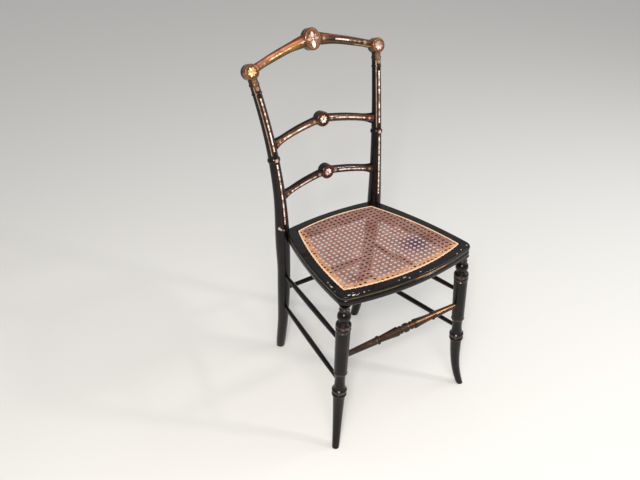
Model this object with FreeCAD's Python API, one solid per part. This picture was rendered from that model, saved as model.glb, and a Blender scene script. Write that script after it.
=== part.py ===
import FreeCAD, Part
import math
import os

# A turned and carved side chair with a caned seat, in millimetres.
# X runs across the chair, Y from front to back, Z up; the front faces -Y.
# The origin is on the floor, under the middle of the chair's outer box.

# Seat: the cane line is the outer edge of the caned panel
seat_height = 439.0
seat_fall = 18.0
seat_thickness = 28.0
seat_margin = 20.5
cane_front_width = 330.0
cane_back_width = 226.0
cane_front_y = -178.5
cane_back_y = 100.0
front_bow = 26.0
side_bow = 11.0
back_bow = 14.0
frame_inner_margin = 14.0
front_corner_radius = 24.0
back_corner_radius = 8.5
nosing_height = 8.0
nosing_radius = 3.6
bead_gap_height = 2.0
bead_gap_depth = 2.2
lower_bead_inset = 1.2
lower_bead_radius = 7.0
rebate_depth = 2.4
side_rail_joint_y = -146.0
rail_tongue_width = 11.0
rail_tongue_height = 15.0
rail_tongue_length = 16.0

# Caning: holes drilled round the frame, the woven panel and its binding
cane_hole_diameter = 4.6
cane_hole_pitch = 12.7
cane_hole_inset = 4.0
cane_thickness = 1.6
cane_block_share = 2.0
cane_opening_share = 0.46
binding_width = 4.6
binding_thickness = 0.8
binding_inset = 4.0

# Rear posts, each one stick from the floor to the crest
post_seat_x = 140.0
post_seat_y = 123.8
post_seat_z = 420.0
post_top_x = 171.5
post_top_y = 188.0
post_top_z = 806.0
back_foot_x = 128.0
back_foot_y = 176.5
post_seat_diameter = 35.0
post_top_diameter = 22.0
back_foot_diameter = 23.0
post_ring_height = 607.0
post_ring_width = 10.0
post_ring_stand = 2.6
post_collar_width = 4.5
post_collar_stand = 1.4
band_ledge_share = 0.4
post_collar_gap = 19.0
post_collar_drop = 36.0
post_tenon_diameter = 11.0
post_tenon_length = 14.0
seat_dowel_diameter = 8.0
seat_dowel_length = 36.0
seat_dowel_shift = 10.0

# Crest rail with its three bosses
crest_centre_y = 211.0
crest_centre_z = 844.0
crest_rise_power_share = 1.45
crest_bow_power_share = 1.3
crest_height = 21.0
crest_depth = 19.0
crest_boss_width = 43.0
crest_boss_height = 51.0
crest_boss_depth = 26.0
end_boss_diameter = 36.0
end_boss_depth = 26.0
boss_rim_width = 3.6
boss_recess = 1.4
boss_edge_radius = 3.5

# Two cross rails below it
middle_end_height = 638.0
middle_centre_y = 165.0
middle_centre_z = 665.2
lower_end_height = 509.0
lower_centre_y = 143.5
lower_centre_z = 534.8
cross_rise_power_share = 1.32
cross_bow_power_share = 2.1
cross_height = 19.5
cross_depth = 17.0
cross_boss_diameter = 36.0
cross_boss_depth = 24.0
cross_tenon_diameter = 9.0
cross_tenon_reach = 8.0

# Front legs: a straight turning above a curved foot
leg_top_x = 167.8
leg_top_y = -188.4
leg_knee_x = 180.6
leg_knee_y = -192.8
leg_knee_z = 150.0
front_foot_x = 199.0
front_foot_y = -209.8
leg_diameter = 34.0
leg_knee_diameter = 28.5
front_foot_diameter = 17.0
first_pole_share = 0.333
second_pole_share = 0.667
leg_pin_diameter = 16.0
leg_pin_length = 20.0

# Stretchers: heights at the front and the back legs, and thickness
upper_side_front_z = 304.0
upper_side_back_z = 281.0
lower_side_front_z = 191.0
lower_side_back_z = 172.0
front_stretcher_z = 265.0
rear_stretcher_z = 229.0
side_stretcher_diameter = 13.5
side_stretcher_end_diameter = 10.5
front_stretcher_diameter = 23.0
front_stretcher_end_diameter = 13.5
front_stretcher_offset = 8.0
rear_stretcher_diameter = 14.0
rear_stretcher_end_diameter = 11.0
stretcher_inset = 5.0
stretcher_bulge_share = 0.0625

# Mother-of-pearl inlay
pearl_thickness = 0.7
pearl_proud = 0.25
dot_diameter = 6.0
star_diameter = 24.0
crest_star_diameter = 33.0
strip_width = 3.6

# Fits
joint_clearance = 0.1
cope_clearance = 0.15
socket_end_gap = 1.0
inlay_clearance = 0.05
cut_overrun = 2.0
flat_tolerance = 0.1

full_turn = 360.0
sides = (("left", -1), ("right", 1))
V = FreeCAD.Vector
up = V(0, 0, 1)

# Outline of the front leg's turning from the knee up to the seat frame:
# radius share of the leg, height share of the turning, outward bulge share of the leg
leg_turning_shares = (
    (0.86, 0.000, 0.00), (0.98, 0.012, 0.04), (0.98, 0.034, 0.05), (0.88, 0.042, 0.00),
    (0.88, 0.048, 0.00), (1.00, 0.056, 0.04), (1.00, 0.082, 0.05), (0.86, 0.092, 0.00),
    (0.78, 0.110, 0.00), (0.78, 0.250, -0.07), (0.90, 0.262, 0.03), (0.94, 0.276, 0.03),
    (0.90, 0.284, 0.00), (0.98, 0.726, 0.00), (0.92, 0.731, 0.00), (1.00, 0.740, 0.03),
    (1.00, 0.764, 0.04), (0.94, 0.768, 0.00), (1.02, 0.776, 0.03), (0.94, 0.806, 0.06),
    (0.66, 0.820, 0.00), (0.64, 0.834, -0.02), (0.66, 0.916, 0.26), (0.56, 0.922, 0.00),
    (0.66, 0.932, 0.02), (0.66, 0.954, 0.04), (0.58, 0.960, 0.00), (0.86, 1.000, -0.05))

# Outline of the front stretcher from the middle of its turning to its end, the turning a
# little right of the chair's middle: place share of the half length, radius share, bulge share
front_stretcher_shares = (
    (0.00, 0.98, 0.00), (0.034, 0.88, 0.03), (0.048, 0.66, 0.00), (0.066, 0.66, 0.00),
    (0.078, 0.82, 0.02), (0.106, 0.82, 0.05), (0.118, 0.66, 0.00), (0.132, 0.66, 0.00),
    (0.145, 0.98, 0.00), (0.165, 1.00, 0.02), (0.458, 0.68, -0.02), (0.468, 0.88, 0.00),
    (0.489, 0.88, 0.06), (0.503, 0.70, 0.00), (0.533, 0.75, 0.02))

# Cross-section of the rails from the middle to the ends: place share of the half length,
# height share, depth share
crest_section_shares = (
    (0.00, 1.45, 1.10), (0.16, 1.34, 1.08), (0.30, 1.12, 1.02), (0.50, 1.00, 1.00),
    (0.70, 0.94, 0.98), (0.86, 0.92, 0.98), (1.00, 0.96, 1.00))
cross_section_shares = (
    (0.00, 1.10, 1.05), (0.18, 1.04, 1.00), (0.45, 1.00, 0.96), (0.70, 0.96, 0.94),
    (0.80, 1.02, 0.98), (0.87, 1.20, 1.06), (0.93, 1.40, 1.15))

# Petals of the stars: bearing in degrees from straight up, reach share, width share
small_star_shares = (
    (0, 1.0, 0.34), (90, 1.0, 0.34), (180, 1.0, 0.34), (270, 1.0, 0.34),
    (45, 0.72, 0.26), (135, 0.72, 0.26), (225, 0.72, 0.26), (315, 0.72, 0.26))
crest_star_shares = (
    (0, 1.0, 0.36), (90, 0.80, 0.30), (180, 1.22, 0.42), (270, 0.80, 0.30),
    (45, 0.66, 0.24), (135, 0.70, 0.24), (225, 0.70, 0.24), (315, 0.66, 0.24))
petal_heart_share = 0.10
petal_waist_share = 0.45

# Places of dots and strips, as shares of the rail's half length or of the post's height
# above the seat
crest_dot_shares = (0.17, 0.80)
cross_dot_shares = (0.165, 0.855)
crest_strip_shares = (0.345, 0.73)
cross_strip_shares = (0.24, 0.78)
upper_post_strip_shares = (0.54, 0.855)
lower_post_strip_shares = (0.06, 0.46)
tangent_step_share = 0.01
strip_sections = 5
post_sections = 7
leg_sections = 5
foot_sections = 5


def mirrored(point, side):
    return V(side * point.x, point.y, point.z)


def bezier(poles):
    curve = Part.BezierCurve()
    curve.setPoles(poles)
    return curve


def unit(vector):
    result = V(vector)
    result.normalize()
    return result


def line(start, end):
    return Part.LineSegment(start, end).toShape()


# A solid turned round Z from an outline of radius, height and outward bulge
def turned(outline):
    corners = [V(radius, 0, height) for radius, height, bulge in outline]
    foot = V(0, 0, corners[0].z)
    head = V(0, 0, corners[-1].z)
    edges = [line(foot, corners[0])]
    for index in range(1, len(outline)):
        start = corners[index - 1]
        end = corners[index]
        bulge = outline[index][2]
        if bulge == 0:
            edges.append(line(start, end))
        else:
            outward = unit(V(end.z - start.z, 0, start.x - end.x))
            middle = (start + end) * 0.5 + outward * bulge
            edges.append(Part.Arc(start, middle, end).toShape())
    edges.append(line(corners[-1], head))
    edges.append(line(head, foot))
    return Part.Face(Part.Wire(edges)).revolve(V(0, 0, 0), up, full_turn)


# Moves a shape made along Z so that it starts at a base point and runs in a direction
def aimed(shape, base, direction):
    shape.Placement = FreeCAD.Placement(base, FreeCAD.Rotation(up, direction)).multiply(shape.Placement)
    return shape


# Moves a shape drawn in XY so that its Z faces along a normal and its Y stays upright
def faced(shape, base, normal, upright):
    across = unit(upright.cross(normal))
    turn = FreeCAD.Rotation(across, normal.cross(across), normal, "ZXY")
    shape.Placement = FreeCAD.Placement(base, turn).multiply(shape.Placement)
    return shape


def rod(start, end, diameter):
    direction = end - start
    return Part.makeCylinder(diameter / 2, direction.Length, start, direction)


def ellipse_section(centre, tangent, upright, half_height, half_depth):
    major = max(half_height, half_depth)
    minor = min(half_height, half_depth)
    long_side = upright if half_height >= half_depth else upright.cross(tangent)
    short_side = tangent.cross(long_side)
    edge = Part.Ellipse(V(0, 0, 0), major, minor).toShape()
    turn = FreeCAD.Rotation(long_side, short_side, tangent, "ZXY")
    edge.Placement = FreeCAD.Placement(centre, turn)
    return Part.Wire([edge])


# A round section whose starting point faces the back, away from the joints
def round_section(centre, tangent, radius):
    circle = Part.Circle(V(0, 0, 0), up, radius).toShape()
    across = V(1, 0, 0)
    turn = FreeCAD.Rotation(tangent.cross(across), across * -1, tangent, "ZXY")
    circle.Placement = FreeCAD.Placement(centre, turn)
    return Part.Wire([circle])


def loft(sections):
    return Part.makeLoft(sections, True, False)


# The seat's own plane: flat work is drawn with Z = 0 on top of the frame, then tilted
def tilted(shape):
    slope = math.degrees(math.atan2(seat_fall, cane_back_y - cane_front_y))
    hinge = V(0, cane_front_y, 0)
    shape.rotate(hinge, V(1, 0, 0), -slope)
    shape.translate(V(0, 0, seat_height))
    return shape


def seat_top_at(y):
    return seat_height - seat_fall * (y - cane_front_y) / (cane_back_y - cane_front_y)


# Four bowed edges round the seat, at a margin outside the cane line
def seat_edges(margin):
    front_x = cane_front_width / 2 + margin
    back_x = cane_back_width / 2 + margin
    front_y = cane_front_y - margin
    back_y = cane_back_y + margin
    middle_x = (front_x + back_x) / 2 + side_bow
    middle_y = (front_y + back_y) / 2
    corners = (V(-front_x, front_y, 0), V(front_x, front_y, 0), V(back_x, back_y, 0), V(-back_x, back_y, 0))
    middles = (V(0, front_y - front_bow, 0), V(middle_x, middle_y, 0), V(0, back_y + back_bow, 0),
               V(-middle_x, middle_y, 0))
    arcs = []
    for index in range(4):
        arcs.append(Part.Arc(corners[index], middles[index], corners[(index + 1) % 4]))
    return arcs


def seat_slab(margin, top, thickness, rounded):
    face = Part.Face(Part.Wire([arc.toShape() for arc in seat_edges(margin)]))
    face.translate(V(0, 0, top - thickness))
    slab = face.extrude(V(0, 0, thickness))
    if rounded:
        inset = seat_margin - margin
        slab = slab.makeFillet(front_corner_radius - inset, corner_edges(slab, -1))
        if back_corner_radius > inset:
            slab = slab.makeFillet(back_corner_radius - inset, corner_edges(slab, 1))
    return slab


# Upright edges at the front or the back corners of a flat slab
def corner_edges(slab, end):
    found = []
    for edge in slab.Edges:
        box = edge.BoundBox
        if max(box.XLength, box.YLength) < flat_tolerance and edge.CenterOfMass.y * end > 0:
            found.append(edge)
    return found


def level_edges(solid, height):
    found = []
    for edge in solid.Edges:
        box = edge.BoundBox
        if box.ZLength < flat_tolerance and abs(box.ZMax - height) < flat_tolerance:
            found.append(edge)
    return found


# The whole moulded frame, before it is parted into four rails
def seat_ring():
    nosing = seat_slab(seat_margin, 0, nosing_height, True)
    nosing = nosing.makeFillet(nosing_radius, level_edges(nosing, 0) + level_edges(nosing, -nosing_height))
    gap_top = -nosing_height
    gap = seat_slab(seat_margin - bead_gap_depth, gap_top, bead_gap_height, True)
    bead_top = gap_top - bead_gap_height
    bead = seat_slab(seat_margin - lower_bead_inset, bead_top, seat_thickness + bead_top, True)
    bead_edges = level_edges(bead, bead_top) + level_edges(bead, -seat_thickness)
    bead = bead.makeFillet(lower_bead_radius, bead_edges)
    ring = nosing.fuse([gap, bead])
    opening = seat_slab(-frame_inner_margin, cut_overrun, seat_thickness + cut_overrun + cut_overrun, False)
    rebate = seat_slab(0, cut_overrun, rebate_depth + cut_overrun, False)
    ring = ring.cut([opening, rebate])
    return ring.cut(cane_holes())


# Caning holes, evenly spaced along each edge from corner to corner
def cane_holes():
    holes = []
    depth = seat_thickness + cut_overrun + cut_overrun
    for arc in seat_edges(-cane_hole_inset):
        length = arc.length()
        count = round(length / cane_hole_pitch)
        first = arc.FirstParameter
        span = arc.LastParameter - first
        for step in range(count):
            point = arc.value(first + span * step / count)
            base = point - V(0, 0, seat_thickness + cut_overrun)
            holes.append(Part.makeCylinder(cane_hole_diameter / 2, depth, base))
    return holes


def block(low_x, high_x, low_y, high_y):
    corner = V(low_x, low_y, -seat_thickness - cut_overrun)
    return Part.makeBox(high_x - low_x, high_y - low_y, seat_thickness + cut_overrun + cut_overrun, corner)


# The ground that each rail covers, seen from above: the side rails run to the back, and
# the front and back rails close their ends
def rail_regions():
    reach = cane_front_width
    joint_x = back_rail_joint_x()
    return {"front": block(-reach, reach, -reach, side_rail_joint_y),
            "back": block(-joint_x, joint_x, 0, reach),
            "left": block(-reach, -joint_x, side_rail_joint_y, reach),
            "right": block(joint_x, reach, side_rail_joint_y, reach)}


def back_rail_joint_x():
    return cane_back_width / 2 - frame_inner_margin


# A square tongue along X or Y, centred on a place in the seat's own plane
def tongue(place, direction, clearance):
    width = rail_tongue_width + clearance + clearance
    height = rail_tongue_height + clearance + clearance
    length = rail_tongue_length + (socket_end_gap if clearance > 0 else 0)
    bar = Part.makeBox(width, height, length + rail_tongue_length, V(-width / 2, -height / 2, -rail_tongue_length))
    return faced(bar, place, direction, up)


def front_tongue(side, clearance):
    share = (side_rail_joint_y - cane_front_y) / (cane_back_y - cane_front_y)
    cane_x = (cane_front_width + (cane_back_width - cane_front_width) * share) / 2
    middle = cane_x + (seat_margin - frame_inner_margin) / 2 + side_bow * share
    place = V(side * middle, side_rail_joint_y, -(seat_thickness + rebate_depth) / 2)
    return tongue(place, V(0, -1, 0), clearance)


def back_tongue(side, clearance):
    middle = cane_back_y + (seat_margin - frame_inner_margin) / 2
    place = V(side * back_rail_joint_x(), middle, -(seat_thickness + rebate_depth) / 2)
    return tongue(place, V(side, 0, 0), clearance)


# Axes of the rear post above and below the seat
def post_curve(side):
    seat = V(side * post_seat_x, post_seat_y, post_seat_z)
    head = V(side * post_top_x, post_top_y, post_top_z)
    middle = V(seat.x, seat.y, (seat.z + head.z) / 2)
    return bezier([seat, middle, head])


def back_leg_curve(side):
    seat = V(side * post_seat_x, post_seat_y, post_seat_z)
    foot = V(side * back_foot_x, back_foot_y, 0)
    middle = V((seat.x + foot.x) / 2, seat.y, (seat.z + foot.z) / 2)
    return bezier([seat, middle, foot])


def post_share(height):
    return (height - post_seat_z) / (post_top_z - post_seat_z)


def post_radius(share):
    swell = 1 - (1 - share) * (1 - share)
    return (post_seat_diameter + (post_top_diameter - post_seat_diameter) * swell) / 2


def back_leg_radius(share):
    swell = share * share
    return (post_seat_diameter + (back_foot_diameter - post_seat_diameter) * swell) / 2


def post_point(side, height):
    if height >= post_seat_z:
        return post_curve(side).value(post_share(height))
    return back_leg_curve(side).value((post_seat_z - height) / post_seat_z)


# The plain stick, grown by a clearance where other pieces are coped round it
def post_stick(side, clearance):
    lower = back_leg_curve(side)
    upper = post_curve(side)
    sections = [round_section(lower.value(1), up, back_leg_radius(1) + clearance)]
    for step in range(foot_sections - 1, 0, -1):
        share = step / foot_sections
        tangent = unit(lower.tangent(share)[0] * -1)
        sections.append(round_section(lower.value(share), tangent, back_leg_radius(share) + clearance))
    for step in range(post_sections):
        share = step / (post_sections - 1)
        tangent = unit(upper.tangent(share)[0])
        sections.append(round_section(upper.value(share), tangent, post_radius(share) + clearance))
    return loft(sections)


def band(side, height, width, stand):
    share = post_share(height)
    curve = post_curve(side)
    direction = unit(curve.tangent(share)[0])
    radius = post_radius(share)
    ledge = stand * band_ledge_share
    outline = ((radius - stand, -width / 2, 0), (radius + ledge, -width / 2, 0),
               (radius + ledge, width / 2, stand - ledge), (radius - stand, width / 2, 0))
    return aimed(turned(outline), curve.value(share), direction)


def post_tenon(side, clearance):
    curve = post_curve(side)
    head = curve.value(1)
    direction = unit(curve.tangent(1)[0])
    shoulder = head - direction * (end_boss_diameter / 2)
    top = shoulder + direction * post_tenon_length
    if clearance > 0:
        top = top + direction * socket_end_gap
    return rod(shoulder - direction * post_tenon_length, top, post_tenon_diameter + clearance + clearance)


# Rails of the back: a rail is a dict with its end and middle points and its powers
def crest_line():
    return {"end": V(post_top_x, post_top_y, post_top_z), "middle": V(0, crest_centre_y, crest_centre_z),
            "rise": crest_rise_power_share, "bow": crest_bow_power_share, "height": crest_height,
            "depth": crest_depth, "sections": crest_section_shares}


def cross_line(end_height, centre_y, centre_z):
    return {"end": post_point(1, end_height), "middle": V(0, centre_y, centre_z),
            "rise": cross_rise_power_share, "bow": cross_bow_power_share, "height": cross_height,
            "depth": cross_depth, "sections": cross_section_shares}


def rail_point(rail, share):
    far = abs(share)
    end = rail["end"]
    middle = rail["middle"]
    y = end.y + (middle.y - end.y) * (1 - far ** rail["bow"])
    z = end.z + (middle.z - end.z) * (1 - far ** rail["rise"])
    return V(end.x * share, y, z)


def rail_tangent(rail, share):
    return unit(rail_point(rail, share + tangent_step_share) - rail_point(rail, share - tangent_step_share))


# Forward-facing direction of the back at a rail, square to the posts
def rail_front(rail):
    share = post_share(rail["end"].z)
    slope = post_curve(1).tangent(share)[0]
    return unit(V(0, -slope.z, slope.y))


def section_shares(rail, share):
    table = rail["sections"]
    far = abs(share)
    for start, end in zip(table, table[1:]):
        if far <= end[0]:
            part = (far - start[0]) / (end[0] - start[0])
            return [start[k] + (end[k] - start[k]) * part for k in (1, 2)]
    return [table[-1][1], table[-1][2]]


def rail_stick(rail):
    front = rail_front(rail)
    places = [row[0] for row in rail["sections"]]
    shares = [-place for place in reversed(places[1:])] + places
    sections = []
    for share in shares:
        tangent = rail_tangent(rail, share)
        upright = unit(front.cross(tangent) * -1)
        height, depth = section_shares(rail, share)
        sections.append(ellipse_section(rail_point(rail, share), tangent, upright,
                                        rail["height"] * height / 2, rail["depth"] * depth / 2))
    return loft(sections)


def round_boss(centre, front, diameter, depth):
    radius = diameter / 2
    edge = boss_edge_radius
    half = depth / 2
    rim = radius - boss_rim_width
    bulge = edge * (1 - math.sqrt(0.5))
    outline = ((radius - edge, -half, 0), (radius, edge - half, bulge), (radius, half - edge, 0),
               (radius - edge, half, bulge), (rim, half - boss_recess, 0))
    return aimed(turned(outline), centre, front)


def crest_boss(centre, front):
    half = crest_boss_depth / 2
    wide = crest_boss_width / 2
    tall = crest_boss_height / 2
    body = Part.Face(Part.Wire([Part.Ellipse(V(0, 0, 0), tall, wide).toShape()])).extrude(V(0, 0, crest_boss_depth))
    body = body.makeFillet(boss_edge_radius, [edge for edge in body.Edges if edge.BoundBox.ZLength < boss_recess])
    floor = Part.Wire([Part.Ellipse(V(0, 0, 0), tall - boss_rim_width, wide - boss_rim_width).toShape()])
    recess = Part.Face(floor).extrude(V(0, 0, boss_recess + cut_overrun))
    recess.translate(V(0, 0, crest_boss_depth - boss_recess))
    body = body.cut(recess)
    body.rotate(V(0, 0, 0), up, full_turn / 4)
    body.translate(V(0, 0, -half))
    return faced(body, centre, front, up)


# Round tenon at a cross rail's end, running into the post along the rail
def rail_tenon(rail, side, clearance):
    end = mirrored(rail["end"], side)
    far = rail["sections"][-1][0]
    inner = mirrored(rail_point(rail, far), side)
    direction = unit(end - inner)
    tip = end - direction * (post_radius(post_share(end.z)) - cross_tenon_reach)
    if clearance > 0:
        tip = tip + direction * socket_end_gap
    root = end - direction * (post_seat_diameter + cross_tenon_reach)
    return rod(root, tip, cross_tenon_diameter + clearance + clearance)


# Inlays
def star(centre, front, diameter, table):
    petals = []
    half = diameter / 2
    for bearing, reach, width in table:
        tip = half * reach
        waist = tip * petal_waist_share
        side = half * width / 2
        heart = tip * petal_heart_share
        points = [V(0, heart, 0), V(side, waist, 0), V(0, tip, 0), V(-side, waist, 0), V(0, heart, 0)]
        petal = Part.Face(Part.makePolygon(points)).extrude(V(0, 0, pearl_thickness))
        petal.rotate(V(0, 0, 0), up, bearing)
        petals.append(faced(petal, centre, front, up))
    return petals


def star_seat(centre, front, depth):
    return centre + front * (depth / 2 - boss_recess)


def dot(place, front, clearance):
    base = place - front * (pearl_thickness - pearl_proud)
    length = pearl_thickness + (cut_overrun if clearance > 0 else 0)
    return Part.makeCylinder(dot_diameter / 2 + clearance, length, base, front)


def rail_face(rail, share):
    tangent = rail_tangent(rail, share)
    front = rail_front(rail)
    outward = unit(front - tangent * front.dot(tangent))
    height, depth = section_shares(rail, share)
    return rail_point(rail, share) + outward * (rail["depth"] * depth / 2), outward, tangent


def post_face(side, share, stand):
    curve = post_curve(side)
    tangent = unit(curve.tangent(share)[0])
    outward = unit(V(0, -tangent.z, tangent.y))
    return curve.value(share) + outward * (post_radius(share) + stand), outward, tangent


# A thin strip lofted through rectangles that lie on faces given by a function
def strip(face_at, start, end, clearance):
    sections = []
    count = strip_sections - 1
    for step in range(strip_sections):
        place, outward, tangent = face_at(start + (end - start) * step / count)
        across = unit(outward.cross(tangent)) * (strip_width / 2 + clearance)
        top = outward * (pearl_proud + (cut_overrun if clearance > 0 else 0))
        bottom = outward * (pearl_proud - pearl_thickness)
        lengthwise = V(0, 0, 0)
        if clearance > 0 and step in (0, count):
            lengthwise = tangent * (clearance if step == count else -clearance)
            if (face_at(end)[0] - face_at(start)[0]).dot(tangent) < 0:
                lengthwise = lengthwise * -1
        base = place + lengthwise
        corners = [base + across + bottom, base + across + top, base - across + top, base - across + bottom]
        corners.append(corners[0])
        sections.append(Part.makePolygon(corners))
    return Part.makeLoft(sections, True, False)


def rail_inlays(rail, dots, strips, clearance):
    pieces = {"dots": [], "strips": []}
    for name, side in sides:
        for share in dots:
            place, outward, tangent = rail_face(rail, side * share)
            pieces["dots"].append(dot(place, outward, clearance))
        pieces["strips"].append(strip(lambda share: rail_face(rail, share), side * strips[0], side * strips[1],
                                      clearance))
    return pieces


def post_inlays(side, clearance):
    collar_share = 1 - post_collar_drop / (post_top_z - post_seat_z)
    ring_share = post_share(post_ring_height)
    dots = []
    for share, stand in ((collar_share, 0), (ring_share, post_ring_stand)):
        place, outward, tangent = post_face(side, share, stand)
        dots.append(dot(place, outward, clearance))
    strips = []
    for start, end in (upper_post_strip_shares, lower_post_strip_shares):
        strips.append(strip(lambda share: post_face(side, share, 0), start, end, clearance))
    return {"dots": dots, "strips": strips}


# Front leg
def leg_axis(side):
    top_z = seat_top_at(leg_top_y) - seat_thickness
    top = V(side * leg_top_x, leg_top_y, top_z)
    knee = V(side * leg_knee_x, leg_knee_y, leg_knee_z)
    return knee, top


def leg_point(side, height):
    knee, top = leg_axis(side)
    return knee + (top - knee) * ((height - knee.z) / (top.z - knee.z))


def foot_curve(side):
    knee, top = leg_axis(side)
    down = unit(knee - top)
    foot = V(side * front_foot_x, front_foot_y, 0)
    first = knee + down * (leg_knee_z * first_pole_share)
    second = knee + down * (leg_knee_z * second_pole_share)
    return bezier([knee, first, second, foot])


def leg_pin(side, clearance):
    knee, top = leg_axis(side)
    direction = unit(top - knee)
    end = top + direction * (leg_pin_length + (socket_end_gap if clearance > 0 else 0))
    return rod(top - direction * leg_pin_length, end, leg_pin_diameter + clearance + clearance)


def front_leg(side):
    knee, top = leg_axis(side)
    length = (top - knee).Length
    radius = leg_diameter / 2
    outline = [(radius * r, length * h, radius * bulge) for r, h, bulge in leg_turning_shares]
    turning = turned(outline)
    turning.rotate(V(0, 0, 0), up, -full_turn / 4)
    turning = aimed(turning, knee, top - knee)
    seat_cut = tilted(seat_slab(seat_margin + leg_diameter, 0, seat_thickness, False))
    turning = turning.cut(seat_cut)
    curve = foot_curve(side)
    sections = [round_section(curve.value(0), unit(top - knee), leg_knee_diameter / 2)]
    for step in range(1, leg_sections):
        share = step / leg_sections
        radius = (leg_knee_diameter + (front_foot_diameter - leg_knee_diameter) * share) / 2
        sections.append(round_section(curve.value(share), unit(curve.tangent(share)[0] * -1), radius))
    sections.append(round_section(curve.value(1), up, front_foot_diameter / 2))
    return turning.fuse([loft(sections), leg_pin(side, 0)])


# Stretchers run between two leg axes; each end sits in a socket in its leg
def stretcher_ends(start, end):
    direction = unit(end - start)
    return start + direction * stretcher_inset, end - direction * stretcher_inset


def plain_stretcher(start, end, diameter, end_diameter):
    near, far = stretcher_ends(start, end)
    length = (far - near).Length
    grip = leg_diameter / 2
    bulge = (diameter - end_diameter) * stretcher_bulge_share
    outline = ((end_diameter / 2, 0, 0), (end_diameter / 2, grip, 0), (diameter / 2, length / 2, bulge),
               (end_diameter / 2, length - grip, bulge), (end_diameter / 2, length, 0))
    return aimed(turned(outline), near, far - near)


def turned_stretcher(start, end):
    near, far = stretcher_ends(start, end)
    half = (far - near).Length / 2
    middle = half + front_stretcher_offset
    radius = front_stretcher_diameter / 2
    grip = leg_diameter / 2
    end_radius = front_stretcher_end_diameter / 2
    rising = [(radius * r, middle + half * place, radius * bulge)
              for place, r, bulge in front_stretcher_shares[1:]]
    rising.append((end_radius, half + half - grip, 0))
    rising.append((end_radius, half + half, 0))
    falling = [(end_radius, 0, 0), (end_radius, grip, 0)]
    places = list(reversed(front_stretcher_shares))
    for index, row in enumerate(places):
        bulge = places[index - 1][2] if index > 0 else 0
        falling.append((radius * row[1], middle - half * row[0], radius * bulge))
    return aimed(turned(falling + rising), near, far - near)


def stretcher_socket(start, end, diameter):
    near, far = stretcher_ends(start, end)
    back = unit(end - start) * socket_end_gap
    return rod(near - back, far + back, diameter + joint_clearance + joint_clearance)


def stretchers():
    result = {}
    for name, side in sides:
        for level, front_z, back_z in (("upper", upper_side_front_z, upper_side_back_z),
                                       ("lower", lower_side_front_z, lower_side_back_z)):
            start = leg_point(side, front_z)
            end = post_point(side, back_z)
            result["side_stretcher_" + level + "_" + name] = (
                start, end, plain_stretcher(start, end, side_stretcher_diameter, side_stretcher_end_diameter),
                side_stretcher_end_diameter)
    start = leg_point(-1, front_stretcher_z)
    end = leg_point(1, front_stretcher_z)
    result["front_stretcher"] = (start, end, turned_stretcher(start, end), front_stretcher_end_diameter)
    start = post_point(-1, rear_stretcher_z)
    end = post_point(1, rear_stretcher_z)
    result["rear_stretcher"] = (start, end, plain_stretcher(start, end, rear_stretcher_diameter,
                                                            rear_stretcher_end_diameter), rear_stretcher_end_diameter)
    return result


# Dowel that pins the housed corner of the seat frame to a rear post
def seat_dowel(side, clearance):
    height = seat_top_at(post_seat_y) - seat_thickness / 2
    axis = V(side * post_seat_x, post_seat_y, height)
    inner = V(side * back_rail_joint_x(), cane_back_y - frame_inner_margin, height)
    direction = unit(inner - axis)
    gap = direction * (socket_end_gap if clearance > 0 else 0)
    root = axis - direction * (seat_dowel_length / 2 - seat_dowel_shift)
    tip = root + direction * seat_dowel_length
    return rod(root - gap, tip + gap, seat_dowel_diameter + clearance + clearance)


# Square openings in a plain grid, each for a block of the weave's own, clear of the binding
def cane_openings():
    field = Part.Face(Part.Wire([arc.toShape() for arc in seat_edges(-cane_hole_inset - binding_width)]))
    pitch = cane_hole_pitch * cane_block_share
    half = pitch * cane_opening_share / 2
    centre_y = (cane_front_y - front_bow + cane_back_y + back_bow) / 2
    depth = cane_thickness + cut_overrun + cut_overrun
    count = math.ceil(cane_front_width / pitch)
    openings = []
    for column in range(-count, count):
        for row in range(-count, count):
            centre = V(pitch * (column + 0.5), centre_y + pitch * (row + 0.5), 0)
            corners = [centre + V(half * x, half * y, 0) for x in (-1, 1) for y in (-1, 1)]
            if all(field.isInside(corner, flat_tolerance, True) for corner in corners):
                base = corners[0] - V(0, 0, rebate_depth + cut_overrun)
                openings.append(Part.makeBox(half + half, half + half, depth, base))
    return openings


def cane_panel():
    sheet = seat_slab(-inlay_clearance, cane_thickness - rebate_depth, cane_thickness, False)
    return tilted(sheet.cut(cane_openings()))


def cane_binding():
    top = cane_thickness + binding_thickness - rebate_depth
    outer = seat_slab(binding_width / 2 - binding_inset, top, binding_thickness, False)
    inner = seat_slab(-binding_width / 2 - binding_inset, top + cut_overrun,
                      binding_thickness + cut_overrun + cut_overrun, False)
    return tilted(outer.cut(inner))


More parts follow.
